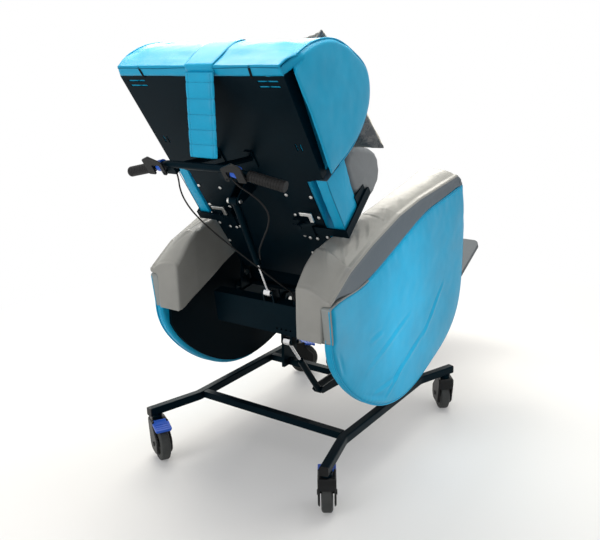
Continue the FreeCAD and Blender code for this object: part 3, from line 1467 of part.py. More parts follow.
def build_foot_board():
    wide = foot_half_width
    thick = foot_thickness / 2
    outline = [(-wide, -foot_start), (wide, -foot_start), (wide, -foot_length),
               (-wide, -foot_length)]
    radii = [foot_corner / 3, foot_corner / 3, foot_corner, foot_corner]
    board = level_plate(outline, -thick, thick, radii)
    inner = leg_frame_x - leg_bar_width / 2 - joint_gap
    for side in (1, -1):
        knuckle = cross_bar(side * inner, side * (inner - tube * 1.5), 0, 0, leg_knuckle)
        web = block(side * inner, side * (inner - tube * 1.5), -foot_start - overrun, 0,
                    -thick / 2, thick / 2)
        board = board.fuse(knuckle).fuse(web)
    board = board.cut(cross_bar(-wide, wide, 0, 0, leg_bolt + running_gap))
    add("foot_board", foot_placed(board))


# Release cables, held at both ends: routes in the chair frame
cable_radius = 2.5
cable_exit_x = 95.0
right_exit_x = -112.0
cable_gland_x = -96.0
gland_radius = 6.0
gland_height = 14.0
gland_along = 30.0
left_route = ((102, 549, 1031), (124, 525, 1000), (138, 497, 961), (131, 472, 918),
              (104, 447, 874), (66, 420, 829), (22, 386, 779), (-22, 352, 731),
              (-62, 321, 687), (-90, 286, 648))
right_route = ((-121, 549, 1030), (-152, 531, 1007), (-178, 508, 976), (-182, 483, 939),
               (-160, 458, 902), (-124, 430, 863), (-84, 400, 822), (-50, 371, 783))


def cable(points):
    # A free cable: straight runs with the largest tangent arcs that fit
    radii = [0]
    for index in range(1, len(points) - 1):
        back = points[index - 1] - points[index]
        ahead = points[index + 1] - points[index]
        half_turn = (math.pi - back.getAngle(ahead)) / 2
        shorter = min(back.Length, ahead.Length)
        radii.append(0.45 * shorter / math.tan(half_turn))
    radii.append(0)
    print("cable length", round(Part.Wire(rounded_edges(points, radii, False)).Length),
          "least radius", round(min(radii[1:-1])))
    return round_tube(points, cable_radius, radii)


def build_cables():
    lean = math.radians(back_lean)
    exit_up = bar_level - bar_radius - housing_height
    exit_y = hinge_y + bar_b * math.cos(lean) + exit_up * math.sin(lean)
    exit_z = hinge_z - bar_b * math.sin(lean) + exit_up * math.cos(lean)
    left = [Vector(cable_exit_x, exit_y, exit_z)] + [Vector(*p) for p in left_route]
    tilt = math.radians(seat_tilt)
    for above in (gland_height * 3, gland_height):
        top = rear_beam_top + above
        left.append(Vector(cable_gland_x,
                           seat_ref_y + gland_along * math.cos(tilt) + top * math.sin(tilt),
                           seat_ref_z - gland_along * math.sin(tilt) + top * math.cos(tilt)))
    add("left_release_cable", cable(left))
    gland = Part.makeCylinder(gland_radius, gland_height,
                              Vector(cable_gland_x, gland_along, rear_beam_top))
    nodes["seat_rear_beam"][0] = nodes["seat_rear_beam"][0].fuse(seat_placed(gland))
    base = Vector(0, recline_high_y, recline_high_z)
    end = Vector(0, recline_low_y, recline_low_z)
    run = (end - base).normalize()
    boss = base + run * ((end - base).Length * recline_tube_share * 0.92)
    boss = boss - Vector(spring_tube * 1.3 + joint_gap * 3, 0, 0)
    right = [Vector(right_exit_x, exit_y, exit_z)] + [Vector(*p) for p in right_route]
    right.append(boss)
    add("right_release_cable", cable(right))


def build_springs():
    spring_pair("tilt_spring", tilt_spring_x, (tilt_spring_low_y, tilt_spring_low_z),
                (tilt_spring_high_y, tilt_spring_high_z), tilt_tube_share, rod_seat_share, 0)
    spring_pair("recline_spring", 0, (recline_high_y, recline_high_z),
                (recline_low_y, recline_low_z), recline_tube_share, rod_seat_share, -1)


def write_nodes():
    # The origin lies on the floor, under the middle of the whole chair
    lowest = min(solid.BoundBox.YMin for solids in nodes.values() for solid in solids)
    highest = max(solid.BoundBox.YMax for solids in nodes.values() for solid in solids)
    shift = -(lowest + highest) / 2
    print("shift along Y", shift)
    for name, solids in nodes.items():
        shape = solids[0] if len(solids) == 1 else Part.makeCompound(solids)
        shape.translate(Vector(0, shift, 0))
        shape.exportStep("parts/" + name + ".step")
        print(name, len(solids), round(shape.Volume / 1000), shape.isValid())


build_base()
build_castors()
build_seat()
build_arms()
build_hinge_bolts()
build_shell()
build_screws()
build_back_cushion()
build_head_cushion()
build_wings()
build_head_pillow()
build_loose_pillow()
build_weight_strap()
build_push_bar()
build_release_levers()
build_laterals()
build_springs()
build_leg_rest()
build_foot_board()
build_cables()
write_nodes()
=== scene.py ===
import bpy
import bmesh
import json
import math
import numpy as np
from mathutils import Matrix, Vector, noise
from mathutils.bvhtree import BVHTree


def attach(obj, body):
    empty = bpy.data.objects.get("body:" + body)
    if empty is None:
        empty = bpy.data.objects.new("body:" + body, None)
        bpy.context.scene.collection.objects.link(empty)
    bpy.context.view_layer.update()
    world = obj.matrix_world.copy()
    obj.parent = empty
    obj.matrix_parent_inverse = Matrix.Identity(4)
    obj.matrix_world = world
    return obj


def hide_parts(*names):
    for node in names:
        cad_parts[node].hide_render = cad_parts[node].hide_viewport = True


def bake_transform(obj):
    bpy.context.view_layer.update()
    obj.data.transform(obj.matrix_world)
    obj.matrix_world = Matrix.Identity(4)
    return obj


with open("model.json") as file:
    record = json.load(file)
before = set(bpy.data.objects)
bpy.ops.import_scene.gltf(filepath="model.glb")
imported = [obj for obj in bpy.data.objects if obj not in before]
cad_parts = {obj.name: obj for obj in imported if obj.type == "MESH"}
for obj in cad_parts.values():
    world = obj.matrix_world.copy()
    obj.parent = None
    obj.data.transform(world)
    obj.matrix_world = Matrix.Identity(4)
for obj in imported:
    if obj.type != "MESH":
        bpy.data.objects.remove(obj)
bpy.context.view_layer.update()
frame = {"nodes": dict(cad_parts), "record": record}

# Places of the chair, in metres: how far it was moved to stand over the origin, the back's
# hinge, lean and top edge, and half the width over the arms
SHIFT = 0.188232
HINGE = Vector((0, 0.112 + SHIFT, 0.616))
LEAN = math.radians(32.8)
BEHIND = Vector((0, math.cos(LEAN), -math.sin(LEAN)))
UP = Vector((0, math.sin(LEAN), math.cos(LEAN)))
SHELL_TOP = 0.842
HALF = 0.363
CROSS = Vector((1, 0, 0))
SIDES = (("left", 1), ("right", -1))


def spot(x, y, z):
    # A point measured in millimetres before the chair is centred
    return Vector((x / 1000, y / 1000 + SHIFT, z / 1000))


def back_spot(x, behind, up):
    # A point of the back, from its hinge
    return HINGE + Vector((x, 0, 0)) + BEHIND * behind + UP * up


def back_parts(co):
    # How far behind and above the hinge each point lies, along the back
    away = co - np.array(HINGE)
    return away @ np.array(BEHIND), away @ np.array(UP)


def towards(angle):
    # The direction at an angle from straight behind the back, towards its top
    return BEHIND * math.cos(math.radians(angle)) + UP * math.sin(math.radians(angle))


def added(name, data):
    # A new object in the scene
    made = bpy.data.objects.new(name, data)
    bpy.context.scene.collection.objects.link(made)
    return made


# Camera
camera = added("camera", bpy.data.cameras.new("camera"))
bpy.context.scene.camera = camera
camera.data.sensor_width = 36
camera.data.lens = 45.914
yaw, pitch, roll = map(math.radians, (144.863, -16.174, -1.283))
ahead = Vector((math.sin(yaw) * math.cos(pitch), math.cos(yaw) * math.cos(pitch),
                math.sin(pitch)))
level = Vector((math.cos(yaw), -math.sin(yaw), 0))
above = level.cross(ahead)
side = level * math.cos(roll) + above * math.sin(roll)
rise = above * math.cos(roll) - level * math.sin(roll)
turned = Matrix((side, rise, -ahead)).transposed().to_4x4()
camera.matrix_world = Matrix.Translation(spot(-1493.88, 2199.13, 1397.12)) @ turned


# Shader groups
EFFECTS = ("Tone", "Shine", "Relief")


def group(name, **scales):
    # An empty group that takes a place and some scales and gives the three effects
    tree = bpy.data.node_groups.new(name, "ShaderNodeTree")
    inputs = [("Vector", "NodeSocketVector", (0, 0, 0))]
    inputs += [(label, "NodeSocketFloat", value) for label, value in scales.items()]
    for label, kind, value in inputs:
        made = tree.interface.new_socket(label, in_out="INPUT", socket_type=kind)
        made.default_value = value
    for label in EFFECTS:
        tree.interface.new_socket(label, in_out="OUTPUT", socket_type="NodeSocketFloat")
    return tree, tree.nodes.new("NodeGroupInput"), tree.nodes.new("NodeGroupOutput")


def ended(tree, out, *sources):
    for label, source in zip(EFFECTS, sources):
        tree.links.new(source, out.inputs[label])
    return tree


def node(tree, kind, links=(), **values):
    made = tree.nodes.new(kind)
    for key, value in values.items():
        if key.startswith("in_"):
            made.inputs[key[3:].replace("_", " ")].default_value = value
        else:
            setattr(made, key, value)
    for socket, source in links:
        tree.links.new(source, made.inputs[socket])
    return made


def maths(tree, operation, a, b):
    made = tree.nodes.new("ShaderNodeMath")
    made.operation = operation
    for index, value in enumerate((a, b)):
        if isinstance(value, (int, float)):
            made.inputs[index].default_value = value
        else:
            tree.links.new(value, made.inputs[index])
    return made.outputs[0]


def cover_group():
    # Coated fabric: fine pebble grain, slow tone changes and faint rubbed areas
    tree, inside, out = group("cover_grain", Grain=700, Mottle=7)
    place, grain, mottle = (inside.outputs[k] for k in ("Vector", "Grain", "Mottle"))
    pebble = node(tree, "ShaderNodeTexVoronoi", [("Vector", place), ("Scale", grain)])
    weave = node(tree, "ShaderNodeTexNoise", [("Vector", place), ("Scale", grain)],
                 in_Detail=3.0, in_Roughness=0.6)
    slow = node(tree, "ShaderNodeTexNoise", [("Vector", place), ("Scale", mottle)],
                in_Detail=4.0, in_Roughness=0.55)
    soft = node(tree, "ShaderNodeTexNoise", [("Vector", place)], in_Scale=38.0, in_Detail=3.0,
                in_Distortion=0.6)
    tone = maths(tree, "ADD", maths(tree, "MULTIPLY", slow.outputs[0], 0.8),
                 maths(tree, "MULTIPLY", weave.outputs[0], 0.2))
    shine = maths(tree, "ADD", maths(tree, "MULTIPLY", slow.outputs[0], 0.6),
                  maths(tree, "MULTIPLY", soft.outputs[0], 0.4))
    relief = maths(tree, "ADD", maths(tree, "MULTIPLY", pebble.outputs[0], 0.35),
                   maths(tree, "ADD", maths(tree, "MULTIPLY", weave.outputs[0], 0.25),
                         maths(tree, "MULTIPLY", soft.outputs[0], 1.6)))
    return ended(tree, out, tone, shine, relief)


def coat_group():
    # Powder coat: orange peel, dust that gathers slowly and a few scuffs
    tree, inside, out = group("coat_peel", Peel=900, Scuff=26)
    place = inside.outputs["Vector"]
    peel = node(tree, "ShaderNodeTexNoise", [("Vector", place), ("Scale", inside.outputs["Peel"])],
                in_Detail=2.0)
    dust = node(tree, "ShaderNodeTexNoise", [("Vector", place)], in_Scale=11.0, in_Detail=8.0,
                in_Roughness=0.7)
    stretch = node(tree, "ShaderNodeMapping", [("Vector", place)], in_Scale=(1.0, 1.0, 0.12))
    scuff = node(tree, "ShaderNodeTexNoise", [("Vector", stretch.outputs[0]),
                                              ("Scale", inside.outputs["Scuff"])],
                 in_Detail=7.0, in_Roughness=0.75)
    worn = node(tree, "ShaderNodeMapRange", [("Value", scuff.outputs[0])],
                in_From_Min=0.62, in_From_Max=0.8)
    tone = maths(tree, "ADD", maths(tree, "MULTIPLY", dust.outputs[0], 0.7),
                 maths(tree, "MULTIPLY", worn.outputs[0], 0.5))
    shine = maths(tree, "ADD", maths(tree, "MULTIPLY", dust.outputs[0], 0.6),
                  maths(tree, "MULTIPLY", peel.outputs[0], 0.4))
    return ended(tree, out, tone, shine, peel.outputs[0])


def streak_group():
    # Plated steel: fine drawn lines and slight staining
    tree, inside, out = group("drawn_lines", Lines=420)
    place = inside.outputs["Vector"]
    stretch = node(tree, "ShaderNodeMapping", [("Vector", place)], in_Scale=(0.06, 1.0, 1.0))
    lines = node(tree, "ShaderNodeTexNoise", [("Vector", stretch.outputs[0]),
                                              ("Scale", inside.outputs["Lines"])],
                 in_Detail=3.0)
    stain = node(tree, "ShaderNodeTexNoise", [("Vector", place)], in_Scale=60.0, in_Detail=6.0)
    tone = maths(tree, "ADD", maths(tree, "MULTIPLY", stain.outputs[0], 0.6),
                 maths(tree, "MULTIPLY", lines.outputs[0], 0.4))
    return ended(tree, out, tone, lines.outputs[0], lines.outputs[0])


def velvet_group():
    # Crushed pile that lies in patches
    tree, inside, out = group("crushed_pile", Patch=34)
    place = inside.outputs["Vector"]
    warp = node(tree, "ShaderNodeTexNoise", [("Vector", place), ("Scale", inside.outputs["Patch"])],
                in_Detail=5.0, in_Distortion=2.6, in_Roughness=0.65)
    pile = node(tree, "ShaderNodeTexNoise", [("Vector", place)], in_Scale=900.0, in_Detail=2.0)
    edge = node(tree, "ShaderNodeMapRange", [("Value", warp.outputs[0])],
                in_From_Min=0.4, in_From_Max=0.62)
    relief = maths(tree, "ADD", maths(tree, "MULTIPLY", warp.outputs[0], 1.5),
                   maths(tree, "MULTIPLY", pile.outputs[0], 0.3))
    return ended(tree, out, edge.outputs[0], warp.outputs[0], relief)


groups = {"cover": cover_group(), "coat": coat_group(), "drawn": streak_group(),
          "velvet": velvet_group()}


def finish(name, kind, low, high, shine, depth, values=None, **sockets):
    # A material whose colour, gloss and relief come from one shader group
    made = bpy.data.materials.new(name)
    made.use_nodes = True
    tree = made.node_tree
    shader = tree.nodes["Principled BSDF"]
    place = tree.nodes.new("ShaderNodeTexCoord")
    effect = tree.nodes.new("ShaderNodeGroup")
    effect.node_tree = groups[kind]
    tree.links.new(place.outputs["Object"], effect.inputs["Vector"])
    for label, value in (values or {}).items():
        effect.inputs[label].default_value = value
    ramp = tree.nodes.new("ShaderNodeValToRGB")
    ramp.color_ramp.elements[0].position = 0.3
    ramp.color_ramp.elements[1].position = 0.72
    ramp.color_ramp.elements[0].color = (*low, 1)
    ramp.color_ramp.elements[1].color = (*high, 1)
    tree.links.new(effect.outputs["Tone"], ramp.inputs[0])
    tree.links.new(ramp.outputs[0], shader.inputs["Base Color"])
    gloss = node(tree, "ShaderNodeMapRange", [("Value", effect.outputs["Shine"])],
                 in_From_Min=0.3, in_From_Max=0.7, in_To_Min=shine[0], in_To_Max=shine[1])
    tree.links.new(gloss.outputs[0], shader.inputs["Roughness"])
    bump = node(tree, "ShaderNodeBump", [("Height", effect.outputs["Relief"])],
                in_Strength=0.5, in_Distance=depth)
    tree.links.new(bump.outputs[0], shader.inputs["Normal"])
    for label, value in sockets.items():
        shader.inputs[label.replace("_", " ")].default_value = value
    return made


materials = {
    "blue_vinyl": finish("blue_vinyl", "cover", (0.003, 0.29, 0.5), (0.006, 0.36, 0.61),
                         (0.32, 0.43), 0.0003, Specular_IOR_Level=0.2),
    "grey_vinyl": finish("grey_vinyl", "cover", (0.205, 0.222, 0.222), (0.262, 0.278, 0.27),
                         (0.34, 0.46), 0.0003, Specular_IOR_Level=0.3),
    "silver_velvet": finish("silver_velvet", "velvet", (0.05, 0.057, 0.066), (0.125, 0.13, 0.132),
                            (0.4, 0.7), 0.0018, Sheen_Weight=1.0, Sheen_Roughness=0.3,
                            Sheen_Tint=(1, 0.93, 0.78, 1)),
    "black_metal": finish("black_metal", "coat", (0.0006, 0.004, 0.0072), (0.0016, 0.008, 0.0125),
                          (0.3, 0.46), 0.0001, Specular_IOR_Level=0.07,
                          Specular_Tint=(0.12, 0.6, 0.85, 1)),
    "bright_steel": finish("bright_steel", "drawn", (0.5, 0.5, 0.49), (0.72, 0.72, 0.7),
                           (0.25, 0.4), 0.0001, Metallic=1.0),
    "rod_chrome": finish("rod_chrome", "drawn", (0.6, 0.6, 0.61), (0.75, 0.75, 0.76),
                         (0.1, 0.18), 0.00005, Metallic=1.0),
    "black_plastic": finish("black_plastic", "coat", (0.003, 0.0035, 0.004), (0.009, 0.01, 0.011),
                            (0.36, 0.5), 0.0001, values={"Peel": 1400}, Specular_IOR_Level=0.2),
    "blue_plastic": finish("blue_plastic", "coat", (0.01, 0.085, 0.5), (0.016, 0.12, 0.62),
                           (0.3, 0.42), 0.0001, values={"Peel": 1200}, Specular_IOR_Level=0.3),
    "black_board": finish("black_board", "coat", (0.0006, 0.003, 0.0052), (0.0015, 0.006, 0.0092),
                          (0.5, 0.66), 0.0002, Specular_IOR_Level=0.06,
                          Specular_Tint=(0.12, 0.6, 0.85, 1)),
    "grip_rubber": finish("grip_rubber", "coat", (0.004, 0.004, 0.0042), (0.011, 0.0105, 0.0105),
                          (0.5, 0.68), 0.0002, values={"Peel": 1800}, Specular_IOR_Level=0.25),
    "wheel_tyre": finish("wheel_tyre", "coat", (0.034, 0.037, 0.037), (0.07, 0.072, 0.07),
                         (0.5, 0.7), 0.0002, Specular_IOR_Level=0.25),
}
thread = finish("seam_thread", "cover", (0.008, 0.13, 0.22), (0.012, 0.17, 0.28), (0.6, 0.8),
                0.0002, Specular_IOR_Level=0.1)
elastic = finish("black_elastic", "coat", (0.004, 0.004, 0.004), (0.012, 0.012, 0.012),
                 (0.7, 0.85), 0.0003, Specular_IOR_Level=0.1)
slate_top = finish("slate_top", "cover", (0.08, 0.092, 0.104), (0.11, 0.122, 0.134),
                   (0.5, 0.64), 0.0003, Specular_IOR_Level=0.2)
# Grey vinyl darkened with painted shade, for the upward top faces of the lateral boxes
painted_shade_slate = finish("painted_shade_slate", "cover", (0.082, 0.104, 0.124), (0.112, 0.136, 0.16),
                    (0.36, 0.48), 0.0003, Specular_IOR_Level=0.25)
slate_roll = finish("slate_roll", "cover", (0.128, 0.14, 0.15), (0.165, 0.178, 0.187),
                    (0.36, 0.48), 0.0003, Specular_IOR_Level=0.3)
banded_cover = finish("banded_vinyl", "cover", (0.224, 0.224, 0.212), (0.284, 0.281, 0.263),
                  (0.34, 0.46), 0.0003, Specular_IOR_Level=0.3)
# Where side_band is above zero, the cover is a darker slate
tree = banded_cover.node_tree
band = node(tree, "ShaderNodeAttribute", attribute_name="side_band")
edge = node(tree, "ShaderNodeMapRange", [("Value", band.outputs["Fac"])],
            in_From_Min=-0.0004, in_From_Max=0.0004)
pick = node(tree, "ShaderNodeMix", data_type="RGBA")
tree.links.new(edge.outputs[0], pick.inputs["Factor"])
for source in [link.from_socket for link in tree.links if link.to_socket.name == "Base Color"]:
    tree.links.new(source, pick.inputs[6])
pick.inputs[7].default_value = (0.056, 0.078, 0.098, 1)
tree.links.new(pick.outputs[2], tree.nodes["Principled BSDF"].inputs["Base Color"])

slot_of = {part["node"]: part["material_slot"] for part in frame["record"]["subparts"]}
for name, cad in frame["nodes"].items():
    cad.data.materials.clear()
    cad.data.materials.append(materials[slot_of[name]])


# Making of soft pieces
def placed(name, mesh, material, body, smooth=True):
    made = added(name, mesh)
    mesh.materials.clear()
    mesh.materials.append(material)
    if smooth:
        mesh.polygons.foreach_set("use_smooth", [True] * len(mesh.polygons))
    if body:
        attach(made, body)
    return made


def mesh_of(piece):
    # A mesh with what the modifiers or the curve settings of a piece make
    graph = bpy.context.evaluated_depsgraph_get()
    return bpy.data.meshes.new_from_object(piece.evaluated_get(graph))


def made_plain(piece):
    # Put a plain mesh in place of the modifiers
    mesh, old = mesh_of(piece), piece.data
    piece.modifiers.clear()
    piece.data = mesh
    bpy.data.meshes.remove(old)


def mesh_from(work, name):
    mesh = bpy.data.meshes.new(name)
    work.to_mesh(mesh)
    work.free()
    return mesh


def skin(work, rings):
    # Faces between closed rings of as many points, and over both ends
    for a, b in zip(rings, rings[1:]):
        for k in range(len(a)):
            after = (k + 1) % len(a)
            work.faces.new((a[k], a[after], b[after], b[k]))
    work.faces.new(rings[0])
    work.faces.new(rings[-1])


def points_of(piece):
    co = np.empty(len(piece.data.vertices) * 3)
    piece.data.vertices.foreach_get("co", co)
    return co.reshape(-1, 3)


def normals_of(piece):
    no = np.empty(len(piece.data.vertices) * 3)
    piece.data.vertices.foreach_get("normal", no)
    return no.reshape(-1, 3)


def set_points(piece, co):
    piece.data.vertices.foreach_set("co", co.ravel())
    piece.data.update()


def from_solid(name, solid, voxel, rounds):
    # A fine even mesh over a solid of the frame, with softened edges
    mesh = frame["nodes"][solid].data.copy()
    work = bmesh.new()
    work.from_mesh(mesh)
    bmesh.ops.remove_doubles(work, verts=work.verts, dist=0.00002)
    work.to_mesh(mesh)
    work.free()
    made = added(name, mesh)
    remesh = made.modifiers.new("even", "REMESH")
    remesh.mode = "VOXEL"
    remesh.voxel_size = voxel
    relax = made.modifiers.new("relax", "SMOOTH")
    relax.iterations = rounds
    relax.factor = 0.5
    made_plain(made)
    return made


def plump(piece, cap, tension=15.0):
    # Blown up as cloth, no point moving further than the cap
    before = points_of(piece)
    cloth = piece.modifiers.new("cloth", "CLOTH")
    cloth.settings.use_pressure = True
    cloth.settings.uniform_pressure_force = 4.0
    cloth.settings.effector_weights.gravity = 0
    cloth.settings.tension_stiffness = tension
    cloth.settings.compression_stiffness = tension
    cloth.settings.bending_stiffness = 0.4
    cloth.settings.quality = 4
    for step in range(1, 21):
        bpy.context.scene.frame_set(step)
    mesh = mesh_of(piece)
    after = np.empty(len(mesh.vertices) * 3)
    mesh.vertices.foreach_get("co", after)
    piece.modifiers.clear()
    bpy.data.meshes.remove(mesh)
    bpy.context.scene.frame_set(1)
    move = after.reshape(-1, 3) - before
    far = np.linalg.norm(move, axis=1, keepdims=True)
    move = move * np.minimum(1, cap / np.maximum(far, 1e-9))
    set_points(piece, before + move)


def waves(co, scale, seed):
    # Smooth even noise at each point, from -1 to 1
    away = Vector((seed, seed * 1.7, -seed))
    return np.array([noise.noise(Vector(p) * scale + away) for p in co])


def press(piece, amount):
    # Move each point along its normal by an amount in metres
    set_points(piece, points_of(piece) + normals_of(piece) * amount[:, None])


def fold(a, b, starts, ends, width, height):
    # Long soft folds: a ridge with a hollow beside it, fading at both ends
    total = np.zeros(len(a))
    for (a0, b0), (a1, b1) in zip(starts, ends):
        da, db = a1 - a0, b1 - b0
        length = math.hypot(da, db)
        t = ((a - a0) * da + (b - b0) * db) / length ** 2
        d = ((a - a0) * db - (b - b0) * da) / length
        fade = np.clip(np.sin(np.clip(t, 0, 1) * math.pi), 0, 1) ** 0.7
        beside = np.exp(-((d - width * 1.6) / width) ** 2)
        total += fade * (np.exp(-(d / width) ** 2) - 0.7 * beside)
    return total * height


def curve_along(name, lines, kind="POLY", resolution=12, closed=False):
    # A curve with one spline along each list of points
    curve = bpy.data.curves.new(name, "CURVE")
    curve.dimensions = "3D"
    for points in lines:
        spline = curve.splines.new(kind)
        spline.points.add(len(points) - 1)
        for target, point in zip(spline.points, points):
            target.co = (*point, 1)
        if kind == "NURBS":
            spline.order_u = 3
            spline.use_endpoint_u = not closed
            spline.use_cyclic_u = closed
            spline.resolution_u = resolution
    return added(name + "_line", curve)


def tube_of(line, name, radius, rounding):
    # The mesh of a round tube along a curve, which goes
    line.data.bevel_depth = radius
    line.data.bevel_resolution = rounding
    line.data.use_fill_caps = True
    mesh = mesh_of(line)
    bpy.data.objects.remove(line)
    mesh.name = name
    return mesh


def line_tube(name, points, radius, material, body, closed=False):
    # A welt or thin cord of cloth along points
    line = curve_along(name, [points], "NURBS", 3, closed)
    return placed(name, tube_of(line, name, radius, 2), material, body)


def stitch_tree():
    # Even stitches along a line
    tree = bpy.data.node_groups.new("stitches", "GeometryNodeTree")
    face = tree.interface
    face.new_socket("Geometry", in_out="INPUT", socket_type="NodeSocketGeometry")
    for label, value in (("Pitch", 0.005), ("Thickness", 0.0006), ("Length", 0.0032)):
        face.new_socket(label, in_out="INPUT", socket_type="NodeSocketFloat").default_value = value
    face.new_socket("Material", in_out="INPUT", socket_type="NodeSocketMaterial")
    face.new_socket("Geometry", in_out="OUTPUT", socket_type="NodeSocketGeometry")
    inside, out = tree.nodes.new("NodeGroupInput"), tree.nodes.new("NodeGroupOutput")
    spread = node(tree, "GeometryNodeCurveToPoints", [("Curve", inside.outputs["Geometry"]),
                                                      ("Length", inside.outputs["Pitch"])],
                  mode="LENGTH")
    bead = node(tree, "GeometryNodeMeshUVSphere", in_Segments=6, in_Rings=4, in_Radius=1.0)
    size = node(tree, "ShaderNodeCombineXYZ", [("X", inside.outputs["Thickness"]),
                                               ("Y", inside.outputs["Thickness"])])
    half = maths(tree, "MULTIPLY", inside.outputs["Length"], 0.5)
    tree.links.new(half, size.inputs["Z"])
    each = node(tree, "GeometryNodeInstanceOnPoints",
                [("Points", spread.outputs["Points"]), ("Instance", bead.outputs["Mesh"]),
                 ("Rotation", spread.outputs["Rotation"]), ("Scale", size.outputs[0])])
    real = node(tree, "GeometryNodeRealizeInstances", [("Geometry", each.outputs[0])])
    coloured = node(tree, "GeometryNodeSetMaterial", [("Geometry", real.outputs[0]),
                                                      ("Material", inside.outputs["Material"])])
    tree.links.new(coloured.outputs[0], out.inputs["Geometry"])
    return tree


stitch_nodes = stitch_tree()


def stitches(name, lines, material, body, pitch=0.006):
    # One piece with the stitches of several lines
    line = curve_along(name, lines)
    sewn = line.modifiers.new("stitches", "NODES")
    sewn.node_group = stitch_nodes
    sockets = {item.name: item.identifier for item in stitch_nodes.interface.items_tree
               if item.in_out == "INPUT"}
    sewn[sockets["Pitch"]] = pitch
    sewn[sockets["Material"]] = material
    line.update_tag()
    bpy.context.view_layer.update()
    mesh = mesh_of(line)
    bpy.data.objects.remove(line)
    return placed(name, mesh, material, body)


def surface(piece):
    mesh = piece.data
    mesh.calc_loop_triangles()
    return BVHTree.FromPolygons([v.co.copy() for v in mesh.vertices],
                                [tuple(t.vertices) for t in mesh.loop_triangles])


def laid(tree, origins, direction, lift=0.0):
    # Where rays first meet a surface, lifted off it a little
    found = []
    direction = Vector(direction).normalized()
    for origin in origins:
        hit = tree.ray_cast(Vector(origin), direction)
        if hit[0] is not None:
            found.append(hit[0] - direction * lift)
    return found


def soft(piece, body, solid, slot, fill):
    # Finish a padded piece, and let it stand for a solid of the frame if one is named
    piece.data.materials.clear()
    piece.data.materials.append(materials[slot])
    piece.data.polygons.foreach_set("use_smooth", [True] * len(piece.data.polygons))
    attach(piece, body)
    if solid:
        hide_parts(solid)
    return piece


# Release cables
LEFT_ROUTE = [(95, 563.4, 1054.3), (102, 549, 1031), (124, 525, 1000), (138, 497, 961),
              (131, 472, 918), (104, 447, 874), (66, 420, 829), (22, 386, 779), (-22, 352, 731),
              (-62, 321, 687), (-90, 286, 648), (-96, 251.8, 622.0), (-96, 247.9, 594.2)]
RIGHT_ROUTE = [(-112, 563.4, 1054.3), (-121, 549, 1030), (-152, 531, 1007), (-178, 508, 976),
               (-182, 483, 939), (-160, 458, 902), (-124, 430, 863), (-84, 400, 822),
               (-50, 371, 783), (-17.95, 322.1, 744.8)]
CABLE_WIDTH = 0.005


def add_cable(name, route, solid):
    line = curve_along(name, [[spot(*p) for p in route]], "NURBS", 10)
    mesh = mesh_of(line)
    bpy.data.meshes.remove(mesh)
    cable = placed(name, tube_of(line, name, CABLE_WIDTH / 2, 3), materials["grip_rubber"],
                   None)
    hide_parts(solid)
    return cable


left_cable = add_cable("left_cable", LEFT_ROUTE, "left_release_cable")
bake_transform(left_cable)
right_cable = add_cable("right_cable", RIGHT_ROUTE, "right_release_cable")
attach(right_cable, "back")


def edge_loop(solid, x, middle):
    # The outline of a solid at one distance from the chair's middle plane, in order
    found = {}
    for vertex in frame["nodes"][solid].data.vertices:
        if abs(abs(vertex.co.x) - x) < 0.0003:
            found[(round(vertex.co.y, 4), round(vertex.co.z, 4))] = vertex.co.copy()
    return sorted(found.values(), key=lambda p: math.atan2(p.z - middle.z, p.y - middle.y))


def drawn_in(points, middle, inset, x):
    # An outline moved towards its middle and to another distance across
    moved = []
    for point in points:
        away = Vector((0, point.y - middle.y, point.z - middle.z))
        moved.append(Vector((x, middle.y, middle.z)) + away * (1 - inset / away.length))
    return moved


def spaced(points, step, closed=False):
    # The same line with points at even steps, or the same ring
    ring = points + points[:1] if closed else points
    lengths = [0.0]
    for a, b in zip(ring, ring[1:]):
        lengths.append(lengths[-1] + (b - a).length)
    count = max(int(lengths[-1] / step), 2)
    along = np.linspace(0, lengths[-1], count + 1)
    co = np.array(ring)
    made = [Vector(p) for p in zip(*(np.interp(along, lengths, co[:, k]) for k in range(3)))]
    return made[:-1] if closed else made


# Arms
ARM_MIDDLE = spot(0, 446 - 957 * 0.5, 209 + 718 * 0.45)
ARM_FACE = HALF - 0.008
WRAP = (0.5565, 0.7)
PANEL_CREASES = (((252, 394), (-64, 511)), ((199, 300), (19, 302)), ((118, 252), (-10, 337)),
                 ((227, 491), (136, 502)), ((417, 518), (384, 428)), ((301, 327), (75, 234)),
                 ((60, 300), (-200, 420)), ((-150, 380), (-330, 560)))
PAD_CREASES = (((0.33, 0.02), (0.22, 0.1)), ((0.26, 0.015), (0.15, 0.075)),
               ((0.2, 0.01), (0.08, 0.085)), ((0.1, 0.01), (0.0, 0.06)),
               ((0.38, 0.05), (0.3, 0.11)), ((-0.02, 0.02), (-0.12, 0.09)))
PAD_RIDGE = ((-478, 896), (-462, 920), (-433, 934), (-122, 898), (22, 870), (204, 811),
             (335, 757), (436, 690))


def panel_outline(name):
    return np.array(edge_loop(name + "_arm_panel", ARM_FACE, ARM_MIDDLE))[:, 1:]


def rear_edge(outline, z):
    # The panel's rearmost place at each height, from its outline
    rear = outline[outline[:, 0] > ARM_MIDDLE.y]
    rear = rear[np.argsort(rear[:, 1])]
    return np.interp(z, rear[:, 1], rear[:, 0])


